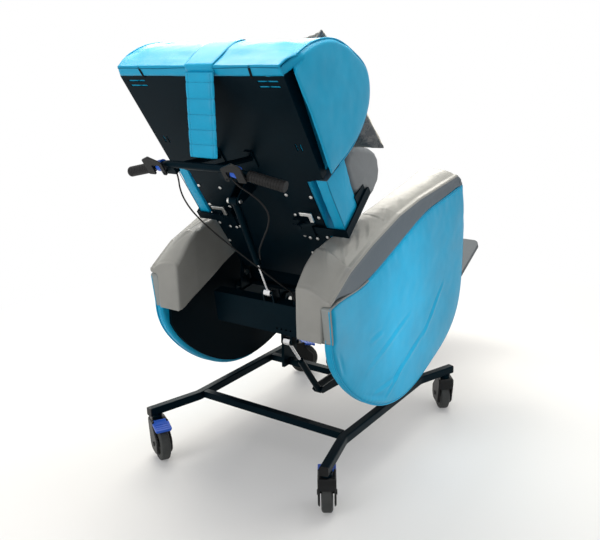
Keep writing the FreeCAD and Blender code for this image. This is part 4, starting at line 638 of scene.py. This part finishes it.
def arm_upholstery(name, side_of):
    panel = from_solid(name + "_arm_upholstery", name + "_arm_panel", 0.005, 3)
    co = points_of(panel)
    outline = panel_outline(name)
    # Its rear edge makes room for the pad's cover that wraps it
    near = np.clip((co[:, 1] - rear_edge(outline, co[:, 2]) + 0.04) / 0.035, 0, 1)
    near *= np.clip((co[:, 2] - WRAP[0] + 0.004) / 0.006, 0, 1)
    near *= np.clip((WRAP[1] - co[:, 2]) / 0.02, 0, 1)
    co[:, 1] -= near * 0.006
    set_points(panel, co)
    no = normals_of(panel)
    gap = np.min(np.linalg.norm(co[:, None, 1:] - outline[None], axis=2), axis=1)
    face = np.clip(no[:, 0] * side_of, 0, 1) ** 2
    crown = 0.007 * (1 - np.exp(-gap / 0.05))
    y, z = co[:, 1] - SHIFT, co[:, 2]
    starts, ends = np.array(PANEL_CREASES).transpose(1, 0, 2) / 1000
    drawn = fold(y, z, starts, ends, 0.008, 0.0035)
    uneven = waves(co, 9, 3.1 + side_of) * 0.0022 + waves(co, 26, 7.3) * 0.0007
    near = np.minimum(1, gap / 0.02)
    press(panel, face * (crown + (drawn + uneven) * near))
    soft(panel, "seat", name + "_arm_panel", "blue_vinyl", 0.75)
    loop = edge_loop(name + "_arm_panel", ARM_FACE, ARM_MIDDLE)
    welt = spaced(drawn_in(loop, ARM_MIDDLE, 0.0005, side_of * (HALF - 0.0045)), 0.012, True)
    line_tube(name + "_arm_welt", welt, 0.0026, materials["blue_vinyl"], "seat",
              closed=True)
    under = [p for p in loop if p.z < ARM_MIDDLE.z + 0.1]
    under.sort(key=lambda p: math.atan2(p.z - ARM_MIDDLE.z - 0.3, p.y - ARM_MIDDLE.y))
    rim = spaced(drawn_in(under, ARM_MIDDLE, 0.001, side_of * (HALF - 0.024)), 0.012)
    line_tube(name + "_arm_rim_welt", rim, 0.0022, materials["blue_vinyl"], "seat")


def sharpened(u, v, power):
    # How far a point of a round corner moves out to make the corner crisp
    inside = (u > 0) & (v > 0)
    u, v = np.clip(u, 1e-6, 1), np.clip(v, 1e-6, 1)
    grow = np.hypot(u, v) / (u ** power + v ** power) ** (1 / power)
    return np.where(inside, np.maximum(grow, 1), 1)


def top_plane(name, side_of, across):
    # Height of the top face near the arm pad's outer edge, and its slope across
    tree = surface(frame["nodes"][name + "_arm_pad"])
    rows = []
    for y in np.linspace(-0.47, 0.43, 46):
        hits = [tree.ray_cast(Vector((side_of * (HALF - a), y + SHIFT, 1.4)), Vector((0, 0, -1)))[0]
                for a in across]
        if None not in hits:
            slope = (hits[1].z - hits[0].z) / (across[1] - across[0])
            rows.append((y, hits[0].z - slope * across[0], slope))
    return np.array(rows).T


def arm_cushion(name, side_of):
    pad = from_solid(name + "_arm_cushion", name + "_arm_pad", 0.004, 1)
    co = points_of(pad)
    ys, tops, slopes = top_plane(name, side_of, (0.022, 0.04))
    y = co[:, 1] - SHIFT
    top, slope = np.interp(y, ys, tops), np.interp(y, ys, slopes)
    across = HALF - co[:, 0] * side_of
    plane = top + slope * across
    bend = 0.015
    u, v = 1 - across / bend, 1 - (plane - co[:, 2]) / bend
    grow = sharpened(u, v, 9)
    co[:, 0] += side_of * (np.clip(u, 0, 2) * (grow - 1) * bend)
    co[:, 2] += np.clip(v, 0, 2) * (grow - 1) * bend
    # The photographed ridge, its front end drawn in
    ridge = np.array(PAD_RIDGE) / 1000
    target = np.interp(y, ridge[:, 0], ridge[:, 1])
    reach = np.where((y > 0.08) & (y < 0.33), 0.05, 0.3)
    lift = (target - top) * np.clip(1 - across / reach, 0.25, 1)
    rise = np.clip(1 - (plane - co[:, 2]) / 0.05, 0, 1)
    co[:, 2] += np.clip(lift, -0.01, 0.024) * rise * (y > -0.48)
    co[:, 1] = np.where(y < -0.4, SHIFT - 0.4 + (y + 0.4) * 0.78, co[:, 1])
    inner = np.clip((0.292 - co[:, 0] * side_of) / 0.04, 0, 1)
    wider = np.interp(y, (-0.45, -0.3, -0.1, 0.2, 0.35), (0.04, 0.024, 0.006, 0.004, 0.014))
    co[:, 0] -= side_of * inner * wider
    set_points(pad, co)
    y, across = co[:, 1] - SHIFT, HALF - co[:, 0] * side_of
    no = normals_of(pad)
    up = np.clip(no[:, 2], 0, 1)
    calm = np.clip((across - 0.006) / 0.02, 0, 1)
    drawn = fold(y, across, *zip(*PAD_CREASES), 0.007, 0.0026)
    slow = waves(co * np.array([1, 0.6, 1]), 14, 5.0) * 0.0022 + waves(co, 40, 1.0) * 0.0006
    press(pad, calm * (slow * (0.35 + 0.65 * up) + 0.002 * up + drawn * up))
    co = points_of(pad)
    line = np.interp(co[:, 1] - SHIFT, ridge[:, 0], ridge[:, 1])
    outer = np.where(HALF - co[:, 0] * side_of < 0.006, line - 0.003 - co[:, 2], -0.01)
    outer = np.where(co[:, 1] - SHIFT > 0.425, -0.01, outer)
    mark = pad.data.attributes.new("side_band", "FLOAT", "POINT")
    mark.data.foreach_set("value", np.clip(outer, -0.01, 0.01))
    soft(pad, "seat", name + "_arm_pad", "grey_vinyl", 0.8)
    pad.data.materials[0] = banded_cover


for name, side_of in SIDES:
    arm_upholstery(name, side_of)
    arm_cushion(name, side_of)

# Seat, back and leg cushions
seat = from_solid("seat_upholstery", "seat_cushion", 0.007, 5)
plump(seat, 0.008)
press(seat, waves(points_of(seat), 11, 2.0) * 0.002)
soft(seat, "seat", "seat_cushion", "grey_vinyl", 0.8)
# Its rear and underside are dark non-slip cloth
seat.data.materials.append(materials["black_board"])
for face in seat.data.polygons:
    face.material_index = 1 if face.normal.y > 0.45 or face.normal.z < -0.5 else 0

# The back cushion swells forwards only, off the shell
rest = from_solid("back_upholstery", "back_cushion", 0.007, 4)
flat = back_parts(points_of(rest))[0]
plump(rest, 0.009)
press(rest, waves(points_of(rest), 13, 4.0) * 0.0018)
co = points_of(rest)
co -= np.clip(back_parts(co)[0] - flat, 0, 1)[:, None] * np.array(BEHIND)
set_points(rest, co)
soft(rest, "back", "back_cushion", "blue_vinyl", 0.85)

legs = from_solid("leg_upholstery", "leg_pad", 0.006, 5)
plump(legs, 0.007)
soft(legs, "leg_rest", "leg_pad", "grey_vinyl", 0.8)

# Head section and wings
CORE = (-0.085, 0.79)
RIM = (-0.0066, 0.876)
CAST = 0.4
head = from_solid("head_upholstery", "head_cushion", 0.005, 3)
co, no = points_of(head), normals_of(head)
behind, up = back_parts(co)
bend = 0.014
u, v = (behind + 0.022) / bend, (up - SHELL_TOP - 0.01) / bend
grow = sharpened(u, v, 6) - 1
co += (np.clip(u, 0, 2) * grow * bend)[:, None] * np.array(BEHIND)
co += (np.clip(v, 0, 2) * grow * bend)[:, None] * np.array(UP)
set_points(head, co)
loose_top = np.clip((up - SHELL_TOP + 0.01) / 0.02, 0, 1)
press(head, waves(co, 16, 8.0) * 0.0022 * (0.5 + loose_top) + 0.002 * np.clip(no[:, 2], 0, 1))
soft(head, "back", "head_cushion", "blue_vinyl", 0.8)


def wing_upholstery(name, side_of):
    wing = from_solid(name + "_wing_upholstery", name + "_head_wing", 0.005, 3)
    # Its rear edge as photographed: slanted, so that only the outer face shows
    co = points_of(wing)
    behind, up = back_parts(co)
    wide = co[:, 0] * side_of
    rear = np.interp(wide, (0.2955, 0.2965, 0.314, 0.326), (-0.011, -0.057, -0.057, -0.068))
    edge = np.interp(up, (0.5, 0.7), (-0.014, -0.026)) if name == "right" else -0.05
    wanted = edge - (0.326 - wide) * 1.2
    start = -0.13
    depth = np.clip((behind - start) / (rear - start), 0, 1)
    below = np.clip((SHELL_TOP + 0.002 - up) / 0.006, 0, 1)
    moved = np.where((behind > start) & (wide > 0.285), start + (wanted - start) * depth, behind)
    co += ((moved - behind) * below)[:, None] * np.array(BEHIND)
    lip = np.clip((behind + 0.085) / 0.07, 0, 1) * np.clip((up - SHELL_TOP + 0.003) / 0.004, 0, 1)
    most = np.interp(behind, (-0.06, -0.02), (0.301, 0.2895)) if name == "left" else 0.301
    co[:, 0] -= side_of * np.clip(wide - most, 0, 1) * lip
    set_points(wing, co)
    no = normals_of(wing)
    middle = back_spot(0, -0.17, 0.69)
    loop = edge_loop(name + "_head_wing", 0.314, middle)
    outline = np.array(loop)[:, 1:]
    gap = np.min(np.linalg.norm(co[:, None, 1:] - outline[None], axis=2), axis=1)
    face = np.clip(np.abs(no[:, 0]), 0, 1) ** 2
    outwards = np.clip(no[:, 0] * side_of, 0, 1)
    crown = 0.005 * (1 - np.exp(-gap / 0.05)) * outwards
    press(wing, face * crown + waves(co, 12, 6.0 + side_of) * 0.0022 + waves(co, 30, 2.0) * 0.0007)
    soft(wing, "back", name + "_head_wing", "blue_vinyl", 0.8)
    ahead_of = [p for p in loop if back_parts(np.array(p))[0] < -0.065]
    ahead_of.sort(key=lambda p: math.atan2((p - middle).dot(UP), -(p - middle).dot(BEHIND)))
    welt = spaced(drawn_in(ahead_of, middle, 0.0005, side_of * 0.3165), 0.012)
    line_tube(name + "_wing_welt", welt, 0.0025, materials["blue_vinyl"], "back")
    return wing


wings = [wing_upholstery(*side) for side in SIDES]


def lip_cover():
    # The cover over the head section from wing to wing, down to the shell's top edge: at each
    # angle round CORE, as far out as rays from CAST first meet the head section or a wing
    trees = [surface(piece) for piece in (head, *wings)]
    angles = np.concatenate([np.linspace(34.6, 47.8, 6), np.linspace(49, 128, 34)])
    shares = np.linspace(-1, 1, 111)
    reach = np.interp(angles, (48, 80), (0.3045, 0.3185))
    left = np.interp(angles, (36, 46, 52, 66, 84), (0.303, 0.2935, 0.2955, 0.305, 0.3185))
    across = [shares * np.where(shares > 0, l, r) for l, r in zip(left, reach)]
    radius = np.zeros((len(angles), len(shares)))
    for i, angle in enumerate(angles):
        out = towards(angle)
        for j in range(len(shares)):
            core = back_spot(across[i][j], *CORE)
            found = [tree.ray_cast(core + out * CAST, -out)[3] for tree in trees]
            found = [CAST - d for d in found if d is not None]
            radius[i, j] = max(found) if found else 0.1
    widest = radius.copy()
    for shift in range(-6, 7):
        widest = np.maximum(widest, np.roll(radius, shift, axis=1))
    gap = np.exp(-((np.abs(shares)[None] * reach[:, None] - 0.24) / 0.03) ** 4)
    radius += (widest - radius) * gap
    for _ in range(14):
        radius[:, 1:-1] = (radius[:, :-2] + radius[:, 1:-1] * 2 + radius[:, 2:]) / 4
    turn = np.radians(angles)
    wall = (RIM[0] - CORE[0]) / np.cos(np.clip(turn, 0, 1.2))
    roof = (RIM[1] - CORE[1]) / np.sin(turn)
    corner = np.minimum(wall, roof)
    # Near the shell it keeps to a crisp corner instead
    hold = np.interp(angles, (62, 92), (1, 0))[:, None]
    soft_end = np.clip((1 - np.abs(shares)) / 0.03, 0, 1)[None] ** 0.5
    radius = radius * (1 - hold) + corner[:, None] * hold
    radius += 0.0012 - (1 - soft_end) * 0.004
    work = bmesh.new()
    grid = []
    for i, angle in enumerate(turn):
        row = []
        for j in range(len(shares)):
            b = CORE[0] + math.cos(angle) * radius[i, j]
            h = CORE[1] + math.sin(angle) * radius[i, j]
            row.append(work.verts.new(back_spot(across[i][j], b, h)))
        grid.append(row)
    for low, high in zip(grid, grid[1:]):
        for k in range(len(shares) - 1):
            work.faces.new((low[k], low[k + 1], high[k + 1], high[k]))
    made = added("head_cover", mesh_from(work, "head_cover"))
    co = points_of(made)
    up = back_parts(co)[1]
    press(made, (waves(co, 13, 5.5) * 0.0016 + waves(co, 34, 2.5) * 0.0005)
          * np.sign(normals_of(made) @ np.array(UP) + 0.01) * np.clip((up - 0.848) / 0.02, 0, 1))
    shell = made.modifiers.new("thick", "SOLIDIFY")
    shell.thickness = 0.0016
    shell.offset = -1 if normals_of(made)[len(co) // 2] @ np.array(UP) > 0 else 1
    made_plain(made)
    work = bmesh.new()
    work.from_mesh(made.data)
    bmesh.ops.recalc_face_normals(work, faces=work.faces)
    work.to_mesh(made.data)
    work.free()
    return soft(made, "back", None, "blue_vinyl", 0.8)


cover_tree = surface(lip_cover())
rim = [back_spot(x, -0.0046, 0.8705 + 0.0012 * math.sin(x * 27 + 1))
       for x in np.linspace(-0.3, 0.29, 70)]
line_tube("lip_seam", rim, 0.0011, thread, "back")

pillow = from_solid("head_pillow_cover", "head_pillow", 0.005, 4)
plump(pillow, 0.008)
soft(pillow, "back", "head_pillow", "grey_vinyl", 0.7)


# Weighted strap, its band over the head section and the loose pillow
def ribbon(name, points, across, widths, thickness, material, body, steps=14):
    # A soft flat band along points, closed all round
    work = bmesh.new()
    rings = []
    count = len(points)
    for index, (point, width, thick) in enumerate(zip(points, widths, thickness)):
        ahead_of = points[min(index + 1, count - 1)] - points[max(index - 1, 0)]
        out = ahead_of.normalized().cross(across).normalized()
        ring = []
        for face_side in (1, -1):
            for k in range(steps + 1):
                t = (k / steps * 2 - 1) * face_side
                edge = (1 - abs(t) ** 6) ** 0.5
                ring.append(work.verts.new(point + across * (width / 2 * t)
                                           + out * (thick / 2 * (edge + 0.02) * face_side)))
        rings.append(ring)
    skin(work, rings)
    bmesh.ops.remove_doubles(work, verts=work.verts, dist=0.00001)
    bmesh.ops.recalc_face_normals(work, faces=work.faces)
    return placed(name, mesh_from(work, name), material, body)


# The arm pads' cover wraps the rear edge of each arm panel
for name, side_of in SIDES:
    outline = panel_outline(name)
    line = [Vector((side_of * 0.3468, rear_edge(outline, z) - 0.0024, z))
            for z in np.linspace(*WRAP, 34)]
    wrap = ribbon(name + "_arm_wrap", line, CROSS, [0.0352] * len(line), [0.006] * len(line),
                  materials["grey_vinyl"], "seat")

STRAP_X = -0.03
STRAP_TOP = spot(STRAP_X * 1000, 578.86, 1339.07)
ROWS = (0, 0.025, 0.07, 0.113, 0.155, 0.196, 0.234)
line, wide, thick = [], [], []
for high, low in zip(ROWS, ROWS[1:]):
    for step in range(12 if low < ROWS[-1] else 13):
        share = step / 12
        swell = abs(math.sin(math.pi * share)) ** 0.45
        line.append(STRAP_TOP - Vector((0, 0, high + (low - high) * share)))
        wide.append(0.101 + 0.003 * swell)
        thick.append(0.006 + (0.002 if high == 0 else 0.006) * swell)
strap = ribbon("strap_cover", line, CROSS, wide, thick, materials["blue_vinyl"], "strap",
               steps=34)
co, no = points_of(strap), normals_of(strap)
edge = np.abs(np.abs(co[:, 0] - STRAP_X) - 0.0405)
press(strap, waves(co, 34, 9.0) * 0.0009 - 0.0016 * np.exp(-(edge / 0.0022) ** 2)
      * np.clip(np.abs(no[:, 1]), 0, 1))
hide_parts("weight_strap")
strap_tree = surface(strap)
rows = []
for drop in ROWS[1:-1]:
    start = [Vector((x, STRAP_TOP.y + 0.05, STRAP_TOP.z - drop - 0.0014))
             for x in np.linspace(STRAP_X - 0.049, STRAP_X + 0.049, 30)]
    rows.append(laid(strap_tree, start, (0, -1, 0), 0.0002))
for x in (STRAP_X - 0.0405, STRAP_X + 0.0405):
    start = [Vector((x, STRAP_TOP.y + 0.05, z))
             for z in np.linspace(STRAP_TOP.z - 0.006, STRAP_TOP.z - 0.228, 70)]
    rows.append(laid(strap_tree, start, (0, -1, 0), 0.0001))
stitches("strap_stitches", rows, thread, "strap", 0.0045)

head_tree = surface(head)
core = back_spot(STRAP_X, *CORE)
band_line = []
for angle in np.linspace(37, 148, 60):
    out = towards(angle)
    band_line += laid(cover_tree if angle < 124 else head_tree, [core + out * CAST], -out, 0.0022)
band_line.insert(0, STRAP_TOP + Vector((0, -0.001, 0.0006)))
band_line = spaced(band_line, 0.005)
share = np.linspace(0, 1, len(band_line))
band = ribbon("strap_band", band_line, CROSS, 0.099 + 0.011 * np.clip(share * 2.5, 0, 1),
              [0.003] * len(band_line), materials["blue_vinyl"], "back")
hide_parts("pillow_band")

scatter = from_solid("scatter_pillow", "loose_pillow", 0.006, 2)
plump(scatter, 0.014, tension=10.0)
co = points_of(scatter)
co[:, 2] += 0.01 * np.clip((co[:, 2] - 1.3) / 0.08, 0, 1)
set_points(scatter, co)
press(scatter, waves(co, 18, 11.0) * 0.002)
soft(scatter, "back", "loose_pillow", "silver_velvet", 0.65)


def slab(name, outline, near, far, edge, crown):
    # A padded slab between two distances across, its outline given along the back
    ring = spaced([Vector((0, b, h)) for b, h in outline], 0.004, True)
    middle = sum(ring, Vector()) / len(ring)
    half, across = (far - near) / 2, (far + near) / 2
    rows = []
    for turn in np.linspace(-90, 90, 15):
        t, c = math.sin(math.radians(turn)), math.cos(math.radians(turn))
        flat = half - edge
        rows.append((across + math.copysign(flat, t) * (abs(t) > 1e-9) + edge * t, edge * (1 - c)))
    for share in (0.3, 0.6, 0.85):
        bulge = crown * math.sin(share * math.pi / 2)
        rows.append((far + bulge, edge + share))
        rows.insert(0, (near - bulge * 0.2, edge + share))
    work = bmesh.new()
    loops = []
    for x, inset in rows:
        loop = []
        for point in ring:
            away = point - middle
            shrink = 1 - inset / away.length if inset <= edge else \
                (1 - edge / away.length) * (1 - (inset - edge))
            place = middle + away * shrink
            loop.append(work.verts.new(back_spot(x, place.y, place.z)))
        loops.append(loop)
    skin(work, loops)
    bmesh.ops.recalc_face_normals(work, faces=work.faces)
    return added(name, mesh_from(work, name))


# Lateral supports: a blue box at the rear and a grey roll in front of the seam
BOX = ((-0.0085, 0.28), (-0.0085, 0.4), (-0.012, 0.481), (-0.122, 0.474), (-0.11, 0.4),
       (-0.099, 0.272), (-0.05, 0.274))
ROLL = ((-0.112, 0.29), (-0.118, 0.37), (-0.124, 0.45), (-0.142, 0.467), (-0.17, 0.466),
        (-0.205, 0.448), (-0.238, 0.422), (-0.264, 0.394), (-0.281, 0.366), (-0.284, 0.338),
        (-0.273, 0.303), (-0.248, 0.276), (-0.205, 0.265), (-0.15, 0.266), (-0.122, 0.273))
LATERAL_NEAR, LATERAL_FAR = 0.2645, 0.3035
for name, side_of, inwards in (("left", 1, 0.018), ("right", -1, 0)):
    for part, outline, edge, slot in (("box", BOX, 0.0035, "blue_vinyl"),
                                      ("roll", ROLL, 0.0195, "grey_vinyl")):
        pad = slab(name + "_lateral_" + part, outline, LATERAL_NEAR, LATERAL_FAR, edge, 0.003)
        co = points_of(pad)
        co[:, 0] = (co[:, 0] - inwards) * side_of
        set_points(pad, co)
        if side_of < 0:
            pad.data.flip_normals()
        press(pad, waves(co, 30, 4.4) * 0.0012 + waves(co, 70, 1.4) * 0.0004)
        pad.data.materials.append(materials[slot] if part == "box" else slate_roll)
        pad.data.materials.append(painted_shade_slate)
        # The box's upward faces are grey, darkened with painted shade
        for face in pad.data.polygons:
            face.material_index = 1 if part == "box" and face.normal.dot(UP) > 0.7 else 0
            face.use_smooth = True
        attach(pad, name + "_lateral")
        if part == "box":
            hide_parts(name + "_lateral_pad")
    seam_at = side_of * (LATERAL_FAR - inwards - 0.0006)
    corner = [back_spot(seam_at, -0.0082 - 0.003 * (h > 0.46), h)
              for h in np.linspace(0.284, 0.478, 18)]
    line_tube(name + "_lateral_seam", corner, 0.0012, thread, name + "_lateral")

# Bright handles of the clamps
HANDLES = {"left": ((125.6, 322), (125.6, 356.2), (179, 356.2), (179, 343.3), (138.8, 343.3),
                    (138.8, 322)),
           "right": ((-226.9, 340), (-226.9, 376.6), (-184, 376.6), (-184, 363.8),
                     (-213.7, 363.8), (-213.7, 340))}
for name, outline in HANDLES.items():
    frame["nodes"][name + "_lateral_clamp"].data.materials[0] = materials["black_metal"]
    work = bmesh.new()
    rows = [[work.verts.new(back_spot(x / 1000, b, h / 1000)) for x, h in outline]
            for b in (0.0214, 0.0276)]
    skin(work, rows)
    bmesh.ops.recalc_face_normals(work, faces=work.faces)
    bmesh.ops.bevel(work, geom=work.edges[:], offset=0.0012, segments=3, profile=0.5,
                    affect="EDGES")
    handle = name + "_clamp_handle"
    placed(handle, mesh_from(work, handle), materials["bright_steel"], name + "_clamp",
           smooth=False)

# Elastic bands that hold the cover to the shell's top edge
ELASTIC_RUN = ((-0.0052, 0.838), (-0.0048, 0.846), (-0.0046, 0.858), (-0.005, 0.87),
               (-0.008, 0.8775))
for name, x, lean in (("left", 0.2, 0.001), ("right", -0.2, -0.0015)):
    line = spaced([back_spot(x + lean * k, *place) for k, place in enumerate(ELASTIC_RUN)], 0.004)
    ribbon(name + "_elastic", line, CROSS, [0.0085] * len(line), [0.0014] * len(line), elastic,
           "back")
frame["nodes"]["foot_board"].data.materials[0] = slate_top

# Light and floor
world = bpy.data.worlds.new("world")
bpy.context.scene.world = world
world.use_nodes = True
tree = world.node_tree
sky = tree.nodes["Background"]
sky.inputs["Color"].default_value = (0.99, 0.995, 1, 1)
sky.inputs["Strength"].default_value = 0.6


def seen_directly(tree):
    # 1 for what the camera sees itself, in a mirror or through glass
    seen = tree.nodes.new("ShaderNodeLightPath")
    both = maths(tree, "MAXIMUM", seen.outputs["Is Camera Ray"], seen.outputs["Is Glossy Ray"])
    return maths(tree, "MAXIMUM", both, seen.outputs["Is Transmission Ray"])


white = node(tree, "ShaderNodeBackground", in_Color=(1, 1, 1, 1), in_Strength=1.0)
mix = node(tree, "ShaderNodeMixShader", [(0, seen_directly(tree)), (1, sky.outputs[0]),
                                         (2, white.outputs[0])])
tree.links.new(mix.outputs[0], tree.nodes["World Output"].inputs[0])


def panel_light(name, place, target, width, height, power, colour):
    data = bpy.data.lights.new(name, "AREA")
    data.shape = "RECTANGLE"
    data.size = width
    data.size_y = height
    data.energy = power
    data.color = colour
    made = added(name, data)
    made.visible_camera = False
    made.location = place
    made.rotation_euler = (Vector(target) - Vector(place)).to_track_quat("-Z", "Y").to_euler()


panel_light("overhead", (-0.15, 0.0, 2.95), (0, 0.1, 0.75), 1.1, 2.0, 48, (1, 0.98, 0.9))
panel_light("skylight", (0.95, 0.1, 2.95), (0, 0.3, 1.1), 0.9, 1.6, 29, (1, 0.96, 0.86))
panel_light("window", (2.25, -2.9, 2.85), (0, 0, 0.8), 3.2, 1.8, 125, (1, 0.95, 0.86))
panel_light("rear_fill", (0.7, 3.3, 1.5), (0, 0.2, 0.7), 1.6, 1.4, 24, (1, 0.99, 0.98))
panel_light("side_strip", (-0.68, 0.19, 0.54), (-0.36, 0.19, 0.54), 0.05, 0.6, 0.85,
            (0.96, 0.98, 1))

floor_mesh = bpy.data.meshes.new("floor")
corners = [(-40, -40, 0), (40, -40, 0), (40, 40, 0), (-40, 40, 0)]
floor_mesh.from_pydata(corners, [], [(0, 1, 2, 3)])
floor = added("floor", floor_mesh)
floor_material = bpy.data.materials.new("floor_white")
floor_material.use_nodes = True
tree = floor_material.node_tree
paint = tree.nodes["Principled BSDF"]
paint.inputs["Base Color"].default_value = (0.74, 0.735, 0.73, 1)
paint.inputs["Roughness"].default_value = 1.0
paint.inputs["Specular IOR Level"].default_value = 0.0
place = tree.nodes.new("ShaderNodeTexCoord")
away = node(tree, "ShaderNodeVectorMath", [(0, place.outputs["Object"])], operation="LENGTH")
# The floor keeps the chair's shadow and turns white away from it
far = node(tree, "ShaderNodeMapRange", [("Value", away.outputs["Value"])],
           in_From_Min=1.1, in_From_Max=2.3)
glow = node(tree, "ShaderNodeEmission", in_Strength=1.0)
share = maths(tree, "ADD", maths(tree, "MULTIPLY", far.outputs[0], 0.82), 0.18)
blank = node(tree, "ShaderNodeMixShader",
             [(0, maths(tree, "MULTIPLY", share, seen_directly(tree))),
              (1, paint.outputs[0]), (2, glow.outputs[0])])
tree.links.new(blank.outputs[0], tree.nodes["Material Output"].inputs[0])
floor_mesh.materials.append(floor_material)

bpy.context.scene.view_settings.view_transform = "Standard"
